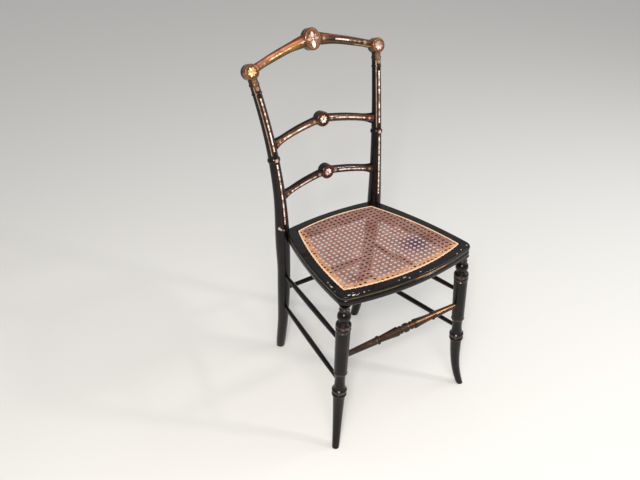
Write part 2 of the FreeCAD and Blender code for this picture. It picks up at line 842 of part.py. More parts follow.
def build():
    nodes = {}
    crest = crest_line()
    middle = cross_line(middle_end_height, middle_centre_y, middle_centre_z)
    lower = cross_line(lower_end_height, lower_centre_y, lower_centre_z)
    bars = stretchers()
    ring = seat_ring()
    regions = rail_regions()
    dots = []
    strips = []

    # Seat rails
    rails = {name: ring.common(region) for name, region in regions.items()}
    for name, side in sides:
        rails[name] = rails[name].fuse(front_tongue(side, 0)).cut(back_tongue(side, joint_clearance))
        rails["front"] = rails["front"].cut(front_tongue(side, joint_clearance))
        rails["back"] = rails["back"].fuse(back_tongue(side, 0))
    rails = {name: tilted(shape) for name, shape in rails.items()}
    for name, side in sides:
        rails["front"] = rails["front"].cut(leg_pin(side, joint_clearance))
        rails[name] = rails[name].cut(seat_dowel(side, joint_clearance))
        rails["back"] = rails["back"].cut(seat_dowel(side, joint_clearance))
        nodes["seat_side_rail_" + name] = rails[name]
    nodes["seat_front_rail"] = rails["front"]
    nodes["seat_back_rail"] = rails["back"]
    nodes["seat_dowels"] = Part.makeCompound([seat_dowel(side, 0) for name, side in sides])

    # Rear posts, with their bands, sockets and inlay seats
    housing = tilted(seat_slab(seat_margin + cope_clearance, cope_clearance, seat_thickness + cope_clearance
                               + cope_clearance, True))
    collar_height = post_top_z - post_collar_drop
    for name, side in sides:
        bands = [band(side, post_ring_height, post_ring_width, post_ring_stand)]
        for offset in (-post_collar_gap / 2, post_collar_gap / 2):
            bands.append(band(side, collar_height + offset, post_collar_width, post_collar_stand))
        post = post_stick(side, 0).fuse(bands)
        boss_axis = rail_front(crest)
        head = mirrored(crest["end"], side)
        reach = boss_axis * end_boss_depth
        cope = rod(head - reach, head + reach, end_boss_diameter + cope_clearance + cope_clearance)
        post = post.cut(cope).fuse(post_tenon(side, 0))
        cuts = [rail_tenon(middle, side, joint_clearance), rail_tenon(lower, side, joint_clearance)]
        cuts += [housing, seat_dowel(side, joint_clearance)]
        for bar_name, (start, end, shape, diameter) in bars.items():
            if bar_name == "rear_stretcher" or bar_name.endswith(name):
                cuts.append(stretcher_socket(start, end, diameter))
        seats = post_inlays(side, inlay_clearance)
        cuts += seats["dots"] + seats["strips"]
        nodes["rear_post_" + name] = post.cut(cuts)
        inlays = post_inlays(side, 0)
        dots += inlays["dots"]
        strips += inlays["strips"]

    # Front legs
    for name, side in sides:
        cuts = []
        for bar_name, (start, end, shape, diameter) in bars.items():
            if bar_name == "front_stretcher" or bar_name.endswith(name):
                cuts.append(stretcher_socket(start, end, diameter))
        nodes["front_leg_" + name] = front_leg(side).cut(cuts)
    for bar_name, (start, end, shape, diameter) in bars.items():
        nodes[bar_name] = shape

    # Rails of the back
    for name, rail, dot_shares, strip_shares in (
            ("crest_rail", crest, crest_dot_shares, crest_strip_shares),
            ("middle_cross_rail", middle, cross_dot_shares, cross_strip_shares),
            ("lower_cross_rail", lower, cross_dot_shares, cross_strip_shares)):
        front = rail_front(rail)
        body = rail_stick(rail)
        if name == "crest_rail":
            bosses = [crest_boss(rail["middle"], front)]
            for label, side in sides:
                bosses.append(round_boss(mirrored(rail["end"], side), front, end_boss_diameter, end_boss_depth))
            body = body.fuse(bosses)
            body = body.cut([post_tenon(side, joint_clearance) for label, side in sides])
        else:
            for label, side in sides:
                body = body.cut(post_stick(side, cope_clearance))
            body = body.fuse([round_boss(rail["middle"], front, cross_boss_diameter, cross_boss_depth)]
                             + [rail_tenon(rail, side, 0) for label, side in sides])
        seats = rail_inlays(rail, dot_shares, strip_shares, inlay_clearance)
        nodes[name] = body.cut(seats["dots"] + seats["strips"])
        inlays = rail_inlays(rail, dot_shares, strip_shares, 0)
        dots += inlays["dots"]
        strips += inlays["strips"]

    # Stars
    front = rail_front(crest)
    nodes["crest_star"] = Part.makeCompound(
        star(star_seat(crest["middle"], front, crest_boss_depth), front, crest_star_diameter, crest_star_shares))
    for name, side in sides:
        seat = star_seat(mirrored(crest["end"], side), front, end_boss_depth)
        nodes["post_star_" + name] = Part.makeCompound(star(seat, front, star_diameter, small_star_shares))
    for name, rail in (("middle_star", middle), ("lower_star", lower)):
        front = rail_front(rail)
        seat = star_seat(rail["middle"], front, cross_boss_depth)
        nodes[name] = Part.makeCompound(star(seat, front, star_diameter, small_star_shares))
    nodes["pearl_dots"] = Part.makeCompound(dots)
    nodes["pearl_strips"] = Part.makeCompound(strips)

    nodes["cane_panel"] = cane_panel()
    nodes["cane_binding"] = cane_binding()
    return nodes


def main():
    os.makedirs("parts", exist_ok=True)
    for name, shape in build().items():
        box = shape.optimalBoundingBox()
        print(name, "solids", len(shape.Solids), "valid", shape.isValid(), "volume", round(shape.Volume),
              "x", round(box.XMin, 1), round(box.XMax, 1), "y", round(box.YMin, 1), round(box.YMax, 1),
              "z", round(box.ZMin, 1), round(box.ZMax, 1))
        shape.exportStep("parts/" + name + ".step")


main()
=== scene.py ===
import bpy
import bmesh
import math
import random
from functools import partial
from mathutils import Matrix, Vector
from mathutils.bvhtree import BVHTree


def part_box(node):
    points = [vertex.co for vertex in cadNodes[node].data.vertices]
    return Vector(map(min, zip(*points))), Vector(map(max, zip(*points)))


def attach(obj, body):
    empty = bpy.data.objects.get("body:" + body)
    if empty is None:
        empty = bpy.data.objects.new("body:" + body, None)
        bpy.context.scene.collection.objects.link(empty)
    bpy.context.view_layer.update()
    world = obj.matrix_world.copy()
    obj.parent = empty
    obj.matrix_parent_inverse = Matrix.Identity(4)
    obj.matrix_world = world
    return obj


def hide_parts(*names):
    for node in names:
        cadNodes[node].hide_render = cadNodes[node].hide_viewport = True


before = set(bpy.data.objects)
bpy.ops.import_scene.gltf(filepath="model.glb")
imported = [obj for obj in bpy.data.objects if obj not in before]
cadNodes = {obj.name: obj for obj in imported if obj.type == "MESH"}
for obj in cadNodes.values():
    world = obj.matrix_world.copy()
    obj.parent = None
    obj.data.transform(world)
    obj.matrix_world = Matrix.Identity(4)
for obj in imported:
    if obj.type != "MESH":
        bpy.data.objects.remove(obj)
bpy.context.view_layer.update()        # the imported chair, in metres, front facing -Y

mm = 0.001
print("frame loaded,", len(cadNodes), "nodes")


# small helpers

def linear(hexColour, alpha=1.0):
    # sRGB hex to the linear colour that sockets hold
    parts = [int(hexColour[i:i + 2], 16) / 255 for i in (0, 2, 4)]
    return [p / 12.92 if p <= 0.04045 else ((p + 0.055) / 1.055) ** 2.4 for p in parts] + [alpha]


def fill(node, inputs):
    # inputs by name, or listed in the sockets' own order; a socket is linked, so is a node by its first live output,
    # and anything else is set as the value
    for name, value in inputs.items() if isinstance(inputs, dict) else enumerate(inputs):
        if isinstance(value, bpy.types.Node):
            value = next(socket for socket in value.outputs if socket.enabled)
        if isinstance(value, bpy.types.NodeSocket):
            node.id_data.links.new(value, node.inputs[name])
        else:
            node.inputs[name].default_value = value


def addNode(tree, kind, inputs=(), operation=None, stops=(), **settings):
    # stops are a colour ramp's: (place, hex colour) or (place, hex colour, alpha)
    node = tree.nodes.new("ShaderNode" + kind)
    if operation:
        node.operation = operation
    for name, value in settings.items():
        setattr(node, name, value)
    if stops:
        points = node.color_ramp.elements
        while len(points) < len(stops):
            points.new(0.5)
        for point, (place, *shade) in zip(points, stops):
            point.position = place
            point.color = linear(*shade)
    fill(node, inputs)
    return node


def newMaterial(name):
    # the material, a function that adds nodes to it, its shader, and the place on the object in metres
    finish = bpy.data.materials.new(name)
    finish.use_nodes = True
    add = partial(addNode, finish.node_tree)
    return finish, add, finish.node_tree.nodes["Principled BSDF"], add("TexCoord").outputs["Object"]


def intoScene(name, data):
    made = bpy.data.objects.new(name, data)
    bpy.context.scene.collection.objects.link(made)
    return made


def meshFrom(shape, name):
    mesh = bpy.data.meshes.new(name)
    shape.to_mesh(mesh)
    shape.free()
    return mesh


def placed(mesh, name, material, matrix=None):
    # a finished piece: its place is in its mesh, and it rides on the chair
    if matrix:
        mesh.transform(matrix)
    mesh.materials.clear()
    mesh.materials.append(material)
    piece = intoScene(name, mesh)
    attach(piece, "root")
    return piece


def paint(nodeName, material):
    for materialSlot in cadNodes[nodeName].material_slots:
        materialSlot.material = material


# camera, from the photograph's own perspective

view = {
    "azimuth": -32.876, "elevation": 33.631, "roll": 0.131,     # degrees
    "target": (-0.0865, 0.0354, 0.420), "distance": 1.6619,     # metres
    "focalPixels": 692.98, "imageWidth": 640, "sensorWidth": 36, "clipStart": 0.05}


def makeCamera(v):
    a, e, r = [math.radians(v[k]) for k in ("azimuth", "elevation", "roll")]
    back = Vector((math.sin(a) * math.cos(e), -math.cos(a) * math.cos(e), math.sin(e)))
    right = Vector((0, 0, 1)).cross(back).normalized()
    above = back.cross(right)
    turned = right * math.cos(r) + above * math.sin(r)
    above = above * math.cos(r) - right * math.sin(r)
    data = bpy.data.cameras.new("photoCamera")
    data.sensor_width = v["sensorWidth"]
    data.lens = v["focalPixels"] / v["imageWidth"] * data.sensor_width
    data.clip_start = v["clipStart"]
    camera = intoScene("photoCamera", data)
    turn = Matrix((turned, above, back)).transposed().to_4x4()
    camera.matrix_world = Matrix.Translation(Vector(v["target"]) + back * v["distance"]) @ turn
    bpy.context.scene.camera = camera


makeCamera(view)
print("camera made")


# seat plane, in millimetres: flat work has Z = 0 on top of the frame, then it is tilted

seat = {
    "height": 439, "fall": 18, "frontY": -178.5, "backY": 100, "frontWidth": 330, "backWidth": 226,
    "frontBow": 26, "sideBow": 11, "backBow": 14, "holeInset": 4.0, "holePitch": 12.7}
seatSlope = math.atan2(seat["fall"], seat["backY"] - seat["frontY"])
seatHinge = Vector((0, seat["frontY"] * mm, 0))
seatTilt = (Matrix.Translation((0, seat["frontY"] * mm, seat["height"] * mm)) @ Matrix.Rotation(-seatSlope, 4, "X")
            @ Matrix.Translation(-seatHinge))


def arcPoints(start, middle, end, count):
    # points on the arc through three points, from start to end
    a, b = middle - start, end - start
    normal = a.cross(b)
    centre = start + (b.length_squared * a.cross(b).cross(a) - a.length_squared * normal.cross(b)) / (
        2 * normal.length_squared)
    first, last = start - centre, end - centre
    span = first.angle(last)
    return [centre + Matrix.Rotation(span * i / count, 3, normal) @ first for i in range(count + 1)]


def seatEdges(margin, counts):
    # the four bowed edges, a margin outside the cane line, in millimetres
    fx, bx = seat["frontWidth"] / 2 + margin, seat["backWidth"] / 2 + margin
    fy, by = seat["frontY"] - margin, seat["backY"] + margin
    mx, my = (fx + bx) / 2 + seat["sideBow"], (fy + by) / 2
    corners = [Vector((-fx, fy, 0)), Vector((fx, fy, 0)), Vector((bx, by, 0)), Vector((-bx, by, 0))]
    middles = [Vector((0, fy - seat["frontBow"], 0)), Vector((mx, my, 0)), Vector((0, by + seat["backBow"], 0)),
               Vector((-mx, my, 0))]
    return [arcPoints(corners[i], middles[i], corners[(i + 1) % 4], counts[i]) for i in range(4)]


def crossings(outline, origin, direction):
    # where a straight line enters and leaves a closed outline, as distances along it
    found = []
    side = Vector((-direction.y, direction.x, 0))
    for p, q in zip(outline, outline[1:] + outline[:1]):
        dp, dq = (p - origin).dot(side), (q - origin).dot(side)
        if (dp < 0) != (dq < 0):
            hit = p + (q - p) * (dp / (dp - dq))
            found.append((hit - origin).dot(direction))
    return (min(found), max(found)) if len(found) > 1 else None


def splineCurve(name, lines, profile):
    # poly splines swept with a flat profile, turned into one mesh; millimetres in, metres out
    shape = bpy.data.curves.new(name + "Profile", "CURVE")
    shape.dimensions = "2D"
    loop = shape.splines.new("POLY")
    loop.points.add(len(profile) - 1)
    loop.use_cyclic_u = True
    for point, (x, y) in zip(loop.points, profile):
        point.co = (x * mm, y * mm, 0, 1)
    shapeObject = bpy.data.objects.new(name + "Profile", shape)
    curve = bpy.data.curves.new(name, "CURVE")
    curve.dimensions = "3D"
    curve.twist_mode = "Z_UP"
    curve.bevel_mode = "OBJECT"
    curve.bevel_object = shapeObject
    curve.use_fill_caps = True
    for line in lines:
        spline = curve.splines.new("POLY")
        spline.points.add(len(line) - 1)
        for point, place in zip(spline.points, line):
            point.co = (*(place * mm), 1)
    holder = intoScene(name + "Curve", curve)
    bpy.context.view_layer.update()
    mesh = bpy.data.meshes.new_from_object(holder.evaluated_get(bpy.context.evaluated_depsgraph_get()))
    mesh.name = name
    for leftover in (holder, shapeObject):
        bpy.data.objects.remove(leftover)
    for leftover in (curve, shape):
        bpy.data.curves.remove(leftover)
    for face in mesh.polygons:
        face.use_smooth = True
    return mesh


def domed(width, thickness):
    # section of split cane: flat below, gently domed above
    w, t = width / 2, thickness
    return [(-w, -0.35 * t), (-w, 0.05 * t), (-0.55 * w, 0.45 * t), (0.55 * w, 0.45 * t), (w, 0.05 * t), (w, -0.35 * t)]


# woven cane, in millimetres: six-way weave of pairs with diagonals, open to the floor below

weave = {
    "pitch": 12.7, "halfGap": 1.5, "strandWidth": 2.8, "diagonalWidth": 3.0, "thickness": 0.5,
    "lift": 0.42, "diagonalLift": 0.5, "level": -1.65, "sag": 1.6, "sagHalfWidth": 165, "sagHalfDepth": 140,
    "firstRow": 7.0, "steps": (-6.35, -3.2, -1.5, 0, 1.5, 3.2), "diagonalSteps": 8, "edgeSteps": (26, 22, 18, 22),
    # a strand's two ends: the last bend stays clear of the hole, where the strand turns down
    "shortest": 14, "clear": 1.2, "shoulder": 0.6, "shoulderDrop": 0.15, "tipDrop": 1.6}
caneTurns = {"caneVerticals": 0, "caneHorizontals": 90, "caneDiagonalsLeft": 45, "caneDiagonalsRight": -45}   # degrees


def sagAt(x, y):
    # how far the panel hangs below its edges at a place
    across = x / weave["sagHalfWidth"]
    along = (y - (seat["frontY"] + seat["backY"]) / 2) / weave["sagHalfDepth"]
    return -weave["sag"] * max(0, 1 - across * across) * max(0, 1 - along * along)


def weaveLine(outline, origin, direction, heightAt, offsets, pitch):
    # one strand from hole line to hole line, its ends turned down under the binding
    w = weave
    ends = crossings(outline, origin, direction)
    if not ends or ends[1] - ends[0] < w["shortest"]:
        return None
    line = []
    for index in range(math.floor(ends[0] / pitch) - 1, math.ceil(ends[1] / pitch) + 2):
        for offset in offsets:
            along = index * pitch + offset
            if ends[0] + w["clear"] < along < ends[1] - w["clear"]:
                p = origin + direction * along
                p.z = w["level"] + heightAt(along) + sagAt(p.x, p.y)
                line.append(p)
    for end, inward in ((ends[0], w["shoulder"]), (ends[1], -w["shoulder"])):
        tip = origin + direction * end
        shoulder = origin + direction * (end + inward)
        tip.z, shoulder.z = w["level"] - w["tipDrop"], w["level"] - w["shoulderDrop"]
        line = [tip, shoulder] + line if inward > 0 else line + [shoulder, tip]
    return line


def pairWave(along):
    # up over one strand of a crossing pair and down under the other
    pitch = weave["pitch"]
    q = ((along + pitch / 2) % pitch - pitch / 2) / weave["halfGap"]
    return q * math.exp(0.5 * (1 - q * q))


def weaveCane():
    # the ranges reach past the frame, where a line gives no strand
    w = weave
    p, g = w["pitch"], w["halfGap"]
    outline = [point for edge in seatEdges(-seat["holeInset"], w["edgeSteps"]) for point in edge[:-1]]
    frontRow = seat["frontY"] + w["firstRow"]       # first crosswise pair behind the front edge
    families = {name: [] for name in caneTurns}
    for i in range(-14, 15):
        for side in (-1, 1):
            origin = Vector((i * p + side * g, frontRow, 0))
            families["caneVerticals"].append(weaveLine(
                outline, origin, Vector((0, 1, 0)), lambda a: -side * w["lift"] * pairWave(a), w["steps"], p))
    for j in range(-3, 25):
        for side in (-1, 1):
            origin = Vector((0, frontRow + j * p + side * g, 0))
            families["caneHorizontals"].append(weaveLine(
                outline, origin, Vector((1, 0, 0)), lambda a: side * w["lift"] * pairWave(a), w["steps"], p))
    slant = p * math.sqrt(2)
    steps = [slant * k / w["diagonalSteps"] - slant / 2 for k in range(w["diagonalSteps"])]
    for k in range(-40, 41):
        for name, turn in (("caneDiagonalsLeft", 1), ("caneDiagonalsRight", -1)):
            origin = Vector((0, frontRow + (k + 0.5) * p, 0))
            families[name].append(weaveLine(
                outline, origin, Vector((1, turn, 0)).normalized(),
                lambda a: turn * w["diagonalLift"] * math.cos(math.tau * a / slant), steps, slant))
    for name, lines in families.items():
        lines = [line for line in lines if line]
        width = w["diagonalWidth"] if "Diagonals" in name else w["strandWidth"]
        yield name, splineCurve(name, lines, domed(width, w["thickness"])), len(lines)


def frontLeftEdgeBand(add, where):
    # 1 along the front and left edges of the cane, 0 further in; there the strands take the warmer edge tones
    x, y = add("SeparateXYZ", [where]).outputs[:2]
    across = add("Math", [x, x], "MULTIPLY")
    front = add("Math", [across, -0.955, y], "MULTIPLY_ADD")      # the front edge's bow, taken out of Y
    front = add("MapRange", [front, -0.176, -0.195])
    depth = add("MapRange", [y, seat["frontY"] * mm, seat["backY"] * mm])
    square = add("Math", [depth, depth], "MULTIPLY")
    side = add("Math", [depth, -0.008, x], "MULTIPLY_ADD")        # the left edge's slant and bow
    side = add("Math", [square, -0.044, side], "MULTIPLY_ADD")
    side = add("MapRange", [side, -0.140, -0.157])
    return add("Math", [front, side], "MAXIMUM")


def rattan(name, turn, tones, gloss, edgeTones=None):
    # split rattan: hard shiny bark side, long fine fibres and nodes, tone differs from strand to strand
    finish, add, shader, where = newMaterial(name)
    aligned = add("Mapping", {"Vector": where, "Rotation": (0, 0, math.radians(turn))})
    strand = add("Mapping", {"Vector": aligned, "Scale": (1, 0.03, 1)})
    fibres = add("Mapping", {"Vector": aligned, "Scale": (1, 0.06, 1)})
    strandTone = add("TexNoise", {"Vector": strand, "Scale": 420, "Detail": 1})              # one strand, 2.3 mm
    fibreTone = add("TexNoise", {"Vector": fibres, "Scale": 2600, "Detail": 2})              # fibres 0.4 mm
    patch = add("TexNoise", {"Vector": where, "Scale": 24, "Detail": 3, "Roughness": 0.6})   # sun and dirt, 40 mm
    mixed = 0.0
    for tone, weight in ((strandTone, 0.62), (fibreTone, 0.20), (patch, 0.30)):
        mixed = add("Math", [tone, weight, mixed], "MULTIPLY_ADD")
    colour = add("ValToRGB", [mixed], stops=tones)
    if edgeTones:
        warm = add("ValToRGB", [mixed], stops=edgeTones)
        colour = add("MixRGB", [frontLeftEdgeBand(add, where), colour, warm])
    for spot in tintedPatches:
        away = add("VectorMath", [where, spot["place"]], "DISTANCE")
        cover = add("MapRange", [away, spot["size"], spot["heart"], 0, spot["strength"]],
                    interpolation_type="SMOOTHSTEP")
        colour = add("MixRGB", [cover, colour, linear(spot["colour"])], blend_type="MULTIPLY")
    bump = add("Bump", {"Height": fibreTone, "Strength": 0.35, "Distance": 0.0002})
    fill(shader, {"Base Color": colour, "Roughness": gloss, "IOR": 1.5, "Normal": bump})
    return finish


# patches that darken and tint the cane: purple at the right front, reddish at the left front, warm brown in the middle
tintedPatches = [
    # full strength within the heart, none beyond the size, both in metres from the place
    {"place": (0.0830, -0.1125, 0.435), "size": 0.056, "heart": 0.004, "strength": 1.0, "colour": "9c76c0"},
    {"place": (-0.1174, -0.1529, 0.437), "size": 0.026, "heart": 0.004, "strength": 0.60, "colour": "a0504e"},
    {"place": (0.0481, 0.0170, 0.426), "size": 0.045, "heart": 0.004, "strength": 0.30, "colour": "b8805e"}]
caneTones = [(0.28, "5c3a32"), (0.45, "82584c"), (0.60, "9c7064"), (0.78, "b8948a")]
edgeTones = [(0.28, "945a34"), (0.45, "c08656"), (0.60, "d89e70"), (0.78, "ecbc92")]
bindingTones = [(0.25, "d09c78"), (0.55, "eec4a2"), (0.80, "fadcc4")]

for name, mesh, count in weaveCane():
    finish = rattan(name + "Rattan", caneTurns[name], caneTones, 0.45, edgeTones)
    piece = placed(mesh, name, finish, seatTilt)
    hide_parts("cane_panel")
    print(name, count, "strands,", len(mesh.polygons), "faces")


# binding, in millimetres: a wider split cane laid over the holes and tied down at each one

binding = {
    "width": 4.2, "thickness": 0.8, "level": -0.38,
    "tieWidth": 1.7, "tieThickness": 0.45, "tieHeight": 0.02, "tieReach": 0.35, "tieFoot": -1.9,
    "tieShoulder": -0.35, "tieCrown": 0.08,
    "underWidth": 2.2, "underThickness": 0.5, "underLevel": -28.2, "underBend": 0.6, "underRise": 4.0,
    "underStep": 0.16,       # share of the way to the next hole
    "edgeSteps": (40, 34, 30, 34), "samples": 4000}       # the holes are picked from that many points of an edge


def makeBinding():
    b = binding
    edges = seatEdges(-seat["holeInset"], b["edgeSteps"])
    lines = [[Vector((p.x, p.y, b["level"])) for p in edge] for edge in edges]
    strip = splineCurve("caneBinding", lines, domed(b["width"], b["thickness"]))
    half = b["width"] / 2 + b["tieReach"]
    top = b["tieHeight"] + b["level"] + b["thickness"] * 0.45       # just above the strip's crown
    shoulder = b["level"] + b["tieShoulder"]
    tie = ((-1, b["tieFoot"]), (-0.93, shoulder), (-0.6, top), (0, top + b["tieCrown"]), (0.6, top), (0.93, shoulder),
           (1, b["tieFoot"]))
    level, bend, rise = [Vector((0, 0, b[key])) for key in ("underLevel", "underBend", "underRise")]
    loops, under = [], []
    for edge in seatEdges(-seat["holeInset"], [b["samples"]] * 4):
        length = sum((q - p).length for p, q in zip(edge, edge[1:]))
        count = round(length / seat["holePitch"])
        holes = [edge[round(b["samples"] * k / count)] for k in range(count + 1)]
        for before, hole, after in zip(holes, holes[1:], holes[2:]):
            along = (after - before).normalized()
            across = Vector((-along.y, along.x, 0))
            loops.append([hole + across * half * s + Vector((0, 0, z)) for s, z in tie])
        for p, q in zip(holes, holes[1:]):
            step = (q - p) * b["underStep"]
            under.append([p + level + rise, p + level + bend, p + step + level, q - step + level, q + level + bend,
                          q + level + rise])
    ties = splineCurve("caneTies", loops, domed(b["tieWidth"], b["tieThickness"]))
    below = splineCurve("caneUnderLoops", under, domed(b["underWidth"], b["underThickness"]))
    return strip, ties, below


strip, ties, below = makeBinding()
bindingFinish = rattan("bindingRattan", 0, bindingTones, 0.35)
piece = placed(strip, "caneBinding", bindingFinish, seatTilt)
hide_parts("cane_binding")
placed(ties, "caneTies", bindingFinish, seatTilt)
placed(below, "caneUnderLoops", rattan("underLoopRattan", 0, caneTones, 0.5), seatTilt)
print("binding and ties made")


# back geometry in metres, for the pearl and the painted lines

backLines = {
    "post": {"seat": (0.140, 0.1238, 0.420), "top": (0.1715, 0.188, 0.806)},
    "crest": {"end": (0.1715, 0.188, 0.806), "middle": (0.211, 0.844), "bow": 1.3, "rise": 1.45,
              "front": (0, -0.949, 0.316)},
    "middle": {"end": (0.15005, 0.14428, 0.638), "middle": (0.165, 0.6652), "bow": 2.1, "rise": 1.32,
               "front": (0, -0.983, 0.185)},
    "lower": {"end": (0.14167, 0.12721, 0.509), "middle": (0.1435, 0.5348), "bow": 2.1, "rise": 1.32,
              "front": (0, -0.997, 0.077)}}


def postPoint(side, share):
    s, t = backLines["post"]["seat"], backLines["post"]["top"]
    return Vector((side * (s[0] + (t[0] - s[0]) * share ** 2), s[1] + (t[1] - s[1]) * share ** 2,
                   s[2] + (t[2] - s[2]) * share))


def railPoint(rail, share):
    r = backLines[rail]
    far = abs(share)
    return Vector((r["end"][0] * share, r["end"][1] + (r["middle"][0] - r["end"][1]) * (1 - far ** r["bow"]),
                   r["end"][2] + (r["middle"][1] - r["end"][2]) * (1 - far ** r["rise"])))


# pearl strips: short chips of shell set end to end, sizes in millimetres

chips = {
    "width": 3.4, "thickness": 0.62, "gap": 0.45, "shortest": 4.2, "longest": 7.2, "bevel": 0.14, "seed": 7,
    "turn": 0.02, "narrowest": 0.93, "sunk": (-0.04, 0.03), "samples": 400,
    # where the strips start and end, as shares of half a rail or of a post
    "crest": (0.345, 0.73), "middle": (0.24, 0.78), "lower": (0.24, 0.78), "post": ((0.54, 0.855), (0.06, 0.46)),
    # shades of the shell: how far along its strip each set starts
    "shades": {
        "crestLeft": [(0.0, ("e8c878", "f4dc9a", "d8a860", "fff0c0", "c89858", "a8803c"))],
        "crestRight": [(0.0, ("fff0e4", "f4d8cc", "e8c0b0", "f0d0c4")), (0.52, ("8a6a54", "6a5040", "a08068"))],
        "middle": [(0.0, ("f4e2d4", "fff6ee", "d4b49e", "f0e6dc", "bc9a82"))],
        "lower": [(0.0, ("fff6ee", "e6d4c6", "d4b49e", "f0e6dc", "a48672"))],
        "post": [(0.0, ("fff2e8", "ead2c0", "c8aa94", "9a7e6a", "fffaf6", "f4e4d8"))]}}


def shadeFrom(sets, share, dice):
    last = [shades for start, shades in sets if share >= start][-1]
    return linear(dice.choice(last))


def layChips():
    shell = bmesh.new()
    tint = shell.verts.layers.float_color.new("tint")
    dice = random.Random(chips["seed"])
    strips = BVHTree.FromObject(cadNodes["pearl_strips"], bpy.context.evaluated_depsgraph_get())
    samples, shortest = chips["samples"], chips["shortest"] * mm
    paths = []
    for side in (-1, 1):
        for rail in ("crest", "middle", "lower"):
            shades = {"crest": "crestLeft" if side < 0 else "crestRight"}.get(rail, rail)
            paths.append((lambda s, rail=rail, side=side: railPoint(rail, side * s), chips[rail],
                          Vector(backLines[rail]["front"]), chips["shades"][shades]))
        for span in chips["post"]:
            paths.append((lambda s, side=side: postPoint(side, s), span, Vector((0, -1, 0.15)).normalized(),
                          chips["shades"]["post"]))
    total = 0
    for pointAt, (start, end), front, shades in paths:
        fine = [pointAt(start + (end - start) * k / samples) for k in range(samples + 1)]
        travelled = [0]
        for p, q in zip(fine, fine[1:]):
            travelled.append(travelled[-1] + (q - p).length)
        length = travelled[-1]
        cuts = [0.0]
        while cuts[-1] < length - shortest * 1.6:
            cuts.append(cuts[-1] + dice.uniform(chips["shortest"], chips["longest"]) * mm)
        if len(cuts) > 1 and length - cuts[-1] < shortest * 0.5:
            cuts[-1] = length          # too short a rest goes to the chip before it
        else:
            cuts.append(length)
        for near, far in zip(cuts, cuts[1:]):
            k = next(i for i, d in enumerate(travelled) if d >= (near + far) / 2)
            k = min(max(k, 1), samples - 1)
            along = (fine[k + 1] - fine[k - 1]).normalized()
            outward = (front - along * front.dot(along)).normalized()
            hit = strips.ray_cast(fine[k] + outward * 0.04, -outward, 0.05)[0]      # from 40 mm in front
            if hit is None:
                continue
            turn = Matrix((along, outward.cross(along), outward)).transposed().to_4x4()
            wobble = Matrix.Rotation(dice.uniform(-chips["turn"], chips["turn"]), 4, "Z")
            width = chips["width"] * mm * dice.uniform(chips["narrowest"], 1.0)
            size = Matrix.Diagonal((far - near - chips["gap"] * mm, width, chips["thickness"] * mm, 1))
            base = hit - outward * (chips["thickness"] / 2 - dice.uniform(*chips["sunk"])) * mm
            made = bmesh.ops.create_cube(shell, size=1, matrix=Matrix.Translation(base) @ turn @ wobble @ size)
            edges = {edge for vert in made["verts"] for edge in vert.link_edges}
            bevelled = bmesh.ops.bevel(shell, geom=list(edges), offset=chips["bevel"] * mm, affect="EDGES",
                                       segments=1, profile=0.5, material=-1)
            shade = shadeFrom(shades, k / samples, dice)
            for vert in bevelled["verts"]:
                vert[tint] = shade
            total += 1
    return meshFrom(shell, "pearlChips"), total


def motherOfPearl(name, tinted):
    # polished shell: cream with soft pink and green bands, a wet gloss, faint growth lines
    finish, add, shader, where = newMaterial(name)
    bands = add("TexNoise", {"Vector": where, "Scale": 210, "Detail": 2, "Distortion": 1.2})               # 5 mm
    lines = add("TexWave", {"Vector": where, "Scale": 260, "Distortion": 6, "Detail": 2}).outputs["Fac"]   # 1.2 mm
    if tinted:
        shade = add("Attribute", attribute_name="tint")
        cloud = add("ValToRGB", [bands], stops=[(0.30, "d4cac4"), (0.45, "fff6f2"), (0.58, "ffffff"), (0.72, "e8f0e6")])
    else:
        # the dots: brown where they are worn by the posts, pinker on the rings
        far = add("Math", [add("SeparateXYZ", [where]).outputs["X"], 5.0], "MULTIPLY")
        shade = add("ValToRGB", [add("Math", [far], "ABSOLUTE")], stops=dotShades)
        cloud = add("ValToRGB", [bands], stops=[(0.35, "a89088"), (0.6, "ffffff")])
    colour = add("MixRGB", [0.8, shade, cloud], blend_type="MULTIPLY")
    rough = add("MapRange", [lines, 0, 1, 0.14, 0.26])
    bump = add("Bump", {"Height": lines, "Strength": 0.12, "Distance": 0.0001})
    fill(shader, {"Base Color": colour, "Roughness": rough, "IOR": 1.56, "Coat Weight": 0.4, "Coat Roughness": 0.06,
                  "Normal": bump})
    return finish


# shade by the distance from the middle of the chair, five times the metres
dotShades = [(0.15, "ac9078"), (0.61, "a07458"), (0.634, "dca890"), (0.66, "a47c58"), (0.70, "98704e"),
             (0.735, "f0ccb4"), (0.78, "f0ccb4"), (0.82, "b09078")]

chipMesh, chipCount = layChips()
shellFinish = motherOfPearl("tintedShell", True)
piece = placed(chipMesh, "pearlChips", shellFinish)
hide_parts("pearl_strips")
paint("pearl_dots", motherOfPearl("dotShell", False))
print(chipCount, "pearl chips")


# rosettes: pointed oval petals of shell, each of its own shade, on the sunk faces of the bosses

def evenPetals(start, petals):
    # eight petals, each (tip, width, shade), the first half way between straight up and the right
    return [(22.5 + 45 * k, start, *petal) for k, petal in enumerate(petals)]


